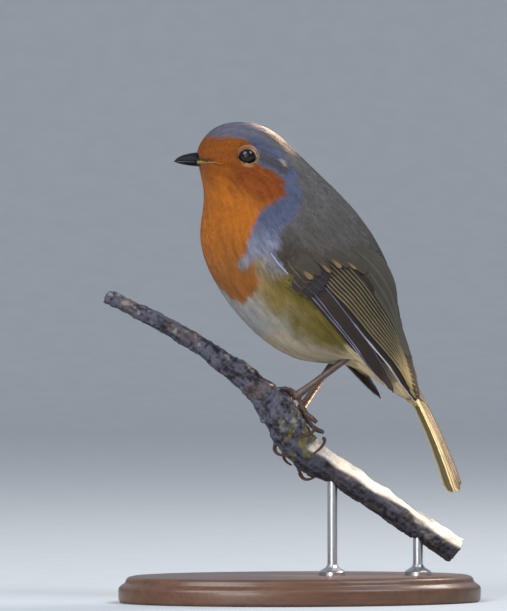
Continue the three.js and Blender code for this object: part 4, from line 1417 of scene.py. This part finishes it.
# Thin horny skin, slightly waxy.
leg_skin = mottled_material("leg_skin", {"Size": 0.14}, (120, 84, 64), 0.3, 0.05, Roughness=0.42,
                            Specular_IOR_Level=0.45, Subsurface_Weight=0.12, Subsurface_Scale=0.001)
claw_horn = horn_material("claw_horn", 0.3, 0.18)
for side, _ in SIDES:
    *shape, shade = foot(side)
    painted_piece(f"foot_{side}", shape, leg_skin, shade, f"leg_{side}", *each_toe("toe", side),
                  slot="leg_skin")
    shape = claws(side)
    shade = np.tile(CLAW_BROWN, (len(shape[0]), 1))
    painted_piece(f"claws_{side}", shape, claw_horn, shade, *each_toe("claw", side), slot="claw_horn")

# %% [markdown]
# ## Twig
# The perch is a dead, weathered twig with rough bark, a lump of healed wood under the feet and a pale
# strip along the top of its lower end, where bark has rubbed off and painted highlight stands for sun.
# Painted shade darkens the bark's hollows and the lower twig. A bump in the material alone would leave
# its edges smooth, so the bark is real relief: the solid is remeshed finely and pushed in and out by
# several sizes of noise.

# %% Bark
TWIG_LINE = np.array([(-60, 93), (-30, 77), (-21, 70.5), (-11, 63), (-5, 55), (1, 45.5),
                      (15, 36.5), (50, 13.5)])


def twig_places(points):
    """How far along the twig points lie, and which way they face round it."""
    flat = points[:, [0, 2]]
    _, along = line_distance(TWIG_LINE, flat)
    up = (flat - at_run(TWIG_LINE, along)) @ unit(np.array([0.55, 0.83]))
    return along, up, np.column_stack([along * 0.28, points[:, 1], up])


twig_points, twig_faces = one_skin(["perch"], 0.42, 6)
along, up, grain_space = twig_places(twig_points)
furrow = np.abs(noise(grain_space, 1.1, 31))
lumps = noise(twig_points, 2.6, 32)
crumbs = noise(twig_points, 0.7, 33)
knot = np.exp(-(((along - 66) / 12) ** 2))
relief = 0.3 * lumps * (1 + 1.2 * knot) + 0.3 * (furrow - 0.3) + 0.22 * crumbs * (1 + 0.5 * knot)
twig_points = twig_points + point_normals(twig_points, twig_faces) * relief[:, None]
print("bark relief in millimetres:", relief.min().round(2), "to", relief.max().round(2))

# %% Colours of the bark
BARK = colour(80, 79, 92)
BARK_SHADE = colour(26, 23, 27)
BARK_WARM = colour(92, 72, 54)
LICHEN = colour(142, 136, 126)
SUNLIT_BARE_WOOD = colour(222, 208, 190)
MOSS = colour(110, 100, 44)
# painted shade in the bark's hollows: darkest where furrows, lumps and crumbs sink in
shade = blend(BARK, BARK_SHADE, np.clip(0.75 - 1.6 * furrow - 0.5 * lumps - 0.8 * crumbs, 0, 1)[:, None])
shade = blend(shade, BARK_WARM, step_up(noise(twig_points, 6, 34), 0.1, 0.6) * 0.35)
patchy = 0.6 * noise(twig_points, 3.2, 35) + 0.8 * noise(twig_points, 1.0, 38)
shade = blend(shade, LICHEN, step_up(patchy + 0.2 * np.clip(up / 3, -1, 1), 0.4, 0.8) * 0.6)
# pale strip along the top of the lower twig: bark rubbed off, and painted highlight where sun falls on it
worn_and_sunlit = soft_step(up / 4 + 0.3 * noise(grain_space, 1.6, 36), 0.2, 0.55) * soft_step(along, 77, 81)
# painted shade: the lower twig is darker, except on its pale sunlit strip
shade = shade * blend(1.0, 0.55, soft_step(along, 66, 84) * (1 - worn_and_sunlit))[:, None]
shade = blend(shade, SUNLIT_BARE_WOOD, worn_and_sunlit[:, None] * 0.85)
mossy = np.exp(-(((along - 75) / 7) ** 2)) * soft_step(noise(twig_points, 1.5, 37) + 0.2 * up / 4, 0.1, 0.5)
shade = blend(shade, MOSS, mossy[:, None] * 0.7)
bark = uneven_material("bark", {"Size": 0.3, "Roughness": 0.75}, 0.6, 1.35, 0.25,
                       Roughness=0.82, Specular_IOR_Level=0.3)
painted_piece("twig_bark", (twig_points, twig_faces), bark, shade, "perch", slot="bark")

# %% [markdown]
# ## Display stand
# An oval wooden foot and two thin steel rods hold the twig, as plainly as a museum would. Their
# solids are coarse lathes, so each is turned again from the same sizes with enough sides to be round.

# %% Base and rods
def turned(profile, sides, scale=(1, 1), centre=(0, 0)):
    """A solid of revolution from (radius, height) points that start and end on the axis."""
    profile = np.asarray(profile, float)
    turn = turns(sides)
    rings = profile[1:-1]
    x = rings[:, :1] * np.cos(turn) * scale[0] + centre[0]
    y = rings[:, :1] * np.sin(turn) * scale[1] + centre[1]
    points = np.stack([x, y, np.broadcast_to(rings[:, 1:], x.shape)], -1).reshape(-1, 3)
    ends = [(*centre, profile[0, 1]), (*centre, profile[-1, 1])]
    return np.vstack([points, ends]), tube_faces(len(rings), sides)


def wood_material():
    """Dark lacquered wood with long, slightly wavy grain."""
    material, tree, shader = new_material(
        "stand_wood", Roughness=0.38, Coat_Weight=0.25, Coat_Roughness=0.18, Specular_IOR_Level=0.45)
    grain = place_group(tree, fine_grain, {"Size": 0.5, "Stretch": (0.05, 1.0, 0.6)})
    shade = mixed(tree, grain["Height"], paint_of(44, 27, 18), paint_of(118, 78, 50))
    shade = mixed(tree, sums(tree, "MULTIPLY", grain["Mask"], 0.5), shade, paint_of(70, 42, 27))
    cover(tree, shader, shade, grain["Height"], 0.02, 0.4)
    return material


def steel_material():
    """Satin steel with fine marks round the rod."""
    material, tree, shader = new_material("stand_steel", Metallic=1.0, Roughness=0.3)
    grain = place_group(tree, fine_grain, {"Size": 0.12, "Stretch": (0.3, 0.3, 3.0)})
    shade = mixed(tree, grain["Height"], paint_of(150, 150, 152), paint_of(196, 196, 198))
    cover(tree, shader, shade, grain["Height"], 0.01, 0.4)
    return material


half_long, half_wide, base_top = node_box("stand_base")[1]
edge = smooth_line([(0.975, 0), (0.995, 0.4), (1.0, 1.6), (1.0, 4.2), (0.985, 5.2), (0.965, 6.0),
                    (0.955, 7.2), (0.935, 7.9), (0.92, base_top)], 30)
edge[:, 1] = np.clip(edge[:, 1], 0, base_top)
board = turned([(0, 0), *edge, (0, base_top)], 160, (half_long, half_wide))
base = new_piece("base", *board, wood_material())
settle(base, "stand_base", slot="stand_wood")
steel = steel_material()
ROD = 1.5  # radius of both rods
for name in ("stand_rod_front", "stand_rod_rear"):
    low, high = node_box(name)
    centre = (low + high)[:2] / 2
    wide = (high[0] - low[0]) / 2
    profile = [(0, low[2]), (wide, low[2]), (wide, low[2] + 1.0), (wide - 0.3, low[2] + 1.3),
               (ROD + 0.5, low[2] + 2.4), (ROD, low[2] + 3.2), (ROD, high[2] - 0.2), (0, high[2])]
    piece = new_piece(name.replace("stand_", ""), *turned(profile, 48, centre=centre), steel, smooth=False)
    settle(piece, name, slot="stand_steel")

# %% [markdown]
# ## Light, floor and camera
# The model stands on a pale floor that curves up on all sides. Broad soft lights show the colours,
# and narrow warm beams, like sun between leaves, draw the bright edges along the crown, the wing,
# the tail and the top of the twig. One sun lamp could do it, but it would light the whole back. A
# long lens far away keeps the bird's proportions true.

# %% Floor
def bowl():
    """A round floor whose rim curves up on all sides, far enough out to look from anywhere."""
    bend = np.linspace(0, 1.3, 14)
    reach = np.append([0.01, 0.5, 1.3], 2.6 + 1.2 * np.sin(bend))
    height = np.append([0, 0, 0], 1.2 - 1.2 * np.cos(bend))
    turn = turns(96)
    across = reach[:, None] * np.cos(turn), reach[:, None] * np.sin(turn)
    points = np.stack([*across, np.broadcast_to(height[:, None], across[0].shape)], -1).reshape(-1, 3) / MM
    index = np.arange(len(points)).reshape(len(reach), len(turn))
    inner, outer = index[:-1], index[1:]
    quads = np.stack([inner, outer, np.roll(outer, -1, axis=1), np.roll(inner, -1, axis=1)], -1)
    return points, quads.reshape(-1, 4)


paper = two_tone_material("backdrop_paper", {"Size": 3.0}, (190, 193, 193), (193, 195, 194), Roughness=0.9)
new_piece("backdrop", *bowl(), paper)
print("backdrop ready")

# %% Lights
def set_up(name, data, place, direction):
    """A lamp or camera at a place in metres that looks in a direction."""
    thing = bpy.data.objects.new(name, data)
    thing.location = place
    thing.rotation_mode = "QUATERNION"
    thing.rotation_quaternion = direction.to_track_quat("-Z", "Y")
    bpy.context.collection.objects.link(thing)
    return thing


def lamp(name, kind, place, aim, power, tint, **settings):
    """A lamp turned from one place towards another."""
    light = bpy.data.lights.new(name, kind)
    for key, value in {"energy": power, "color": tint, **settings}.items():
        setattr(light, key, value)
    set_up(name, light, place, Vector(aim) - Vector(place))


def area_light(name, place, size, power, tint):
    """A soft square light turned towards the model."""
    lamp(name, "AREA", place, MIDDLE, power, tint, size=size)


def sunbeam(name, place, aim, angle, power, tint=(1.0, 0.84, 0.66)):
    """A narrow warm beam, as sun falls between leaves. The angle is in degrees."""
    lamp(name, "SPOT", place, aim, power, tint, spot_size=math.radians(angle), spot_blend=0.6,
         shadow_soft_size=0.004)


MIDDLE = (0.0, 0.0, 0.09)
area_light("front", (-0.86, -1.03, 1.0), 1.0, 21, (0.96, 0.98, 1.0))
area_light("sky", (0.64, -0.69, 0.9), 0.5, 7, (0.72, 0.82, 1.0))
area_light("back", (0.75, 0.35, 0.95), 0.3, 6, (1.0, 0.95, 0.88))
area_light("low", (-0.6, -1.25, 0.1), 0.5, 8, (1.0, 0.98, 0.94))
sunbeam("crown", (0.2, 0.45, 0.47), (-0.0085, -0.003, 0.14), 1.5, 250, (1.0, 0.7, 0.44))
sunbeam("tail", (0.7, 0.12, 0.75), (0.0445, -0.002, 0.046), 1.9, 30)
sunbeam("wing", (0.55, -0.45, 0.65), (0.031, -0.009, 0.0645), 1.0, 70)
sunbeam("leg", (0.376, 0.155, 0.017), (0.006, 0.007, 0.061), 1.3, 110, (1.0, 0.6, 0.3))
sunbeam("twig", (0.55, -0.2, 0.8), (0.032, 0.0, 0.028), 3.4, 70)
world = bpy.data.worlds.new("studio")
world.use_nodes = True
feed(world.node_tree, world.node_tree.nodes["Background"], {"Color": (0.78, 0.86, 1.0, 1), "Strength": 0.6})
bpy.context.scene.world = world
bpy.context.scene.view_settings.view_transform = "Standard"

# %% Camera
TURN = math.radians(-8)  # round the model, from square on its left side
DISTANCE = 2.0
VIEW_HEIGHT = 0.1833
SENSOR = 36.0
middle_across, middle_up = -0.01395, 0.08895  # what the picture's middle shows
aim = Vector((math.cos(TURN) * middle_across, math.sin(TURN) * middle_across, middle_up))
back = Vector((math.sin(TURN), -math.cos(TURN), 0.0))
lens = bpy.data.cameras.new("camera")
lens.sensor_width = SENSOR
lens.lens = SENSOR * DISTANCE / VIEW_HEIGHT
camera = set_up("camera", lens, aim + back * DISTANCE, -back)
bpy.context.scene.camera = camera
print("lens", round(lens.lens), "mm at", [round(c, 2) for c in camera.location])
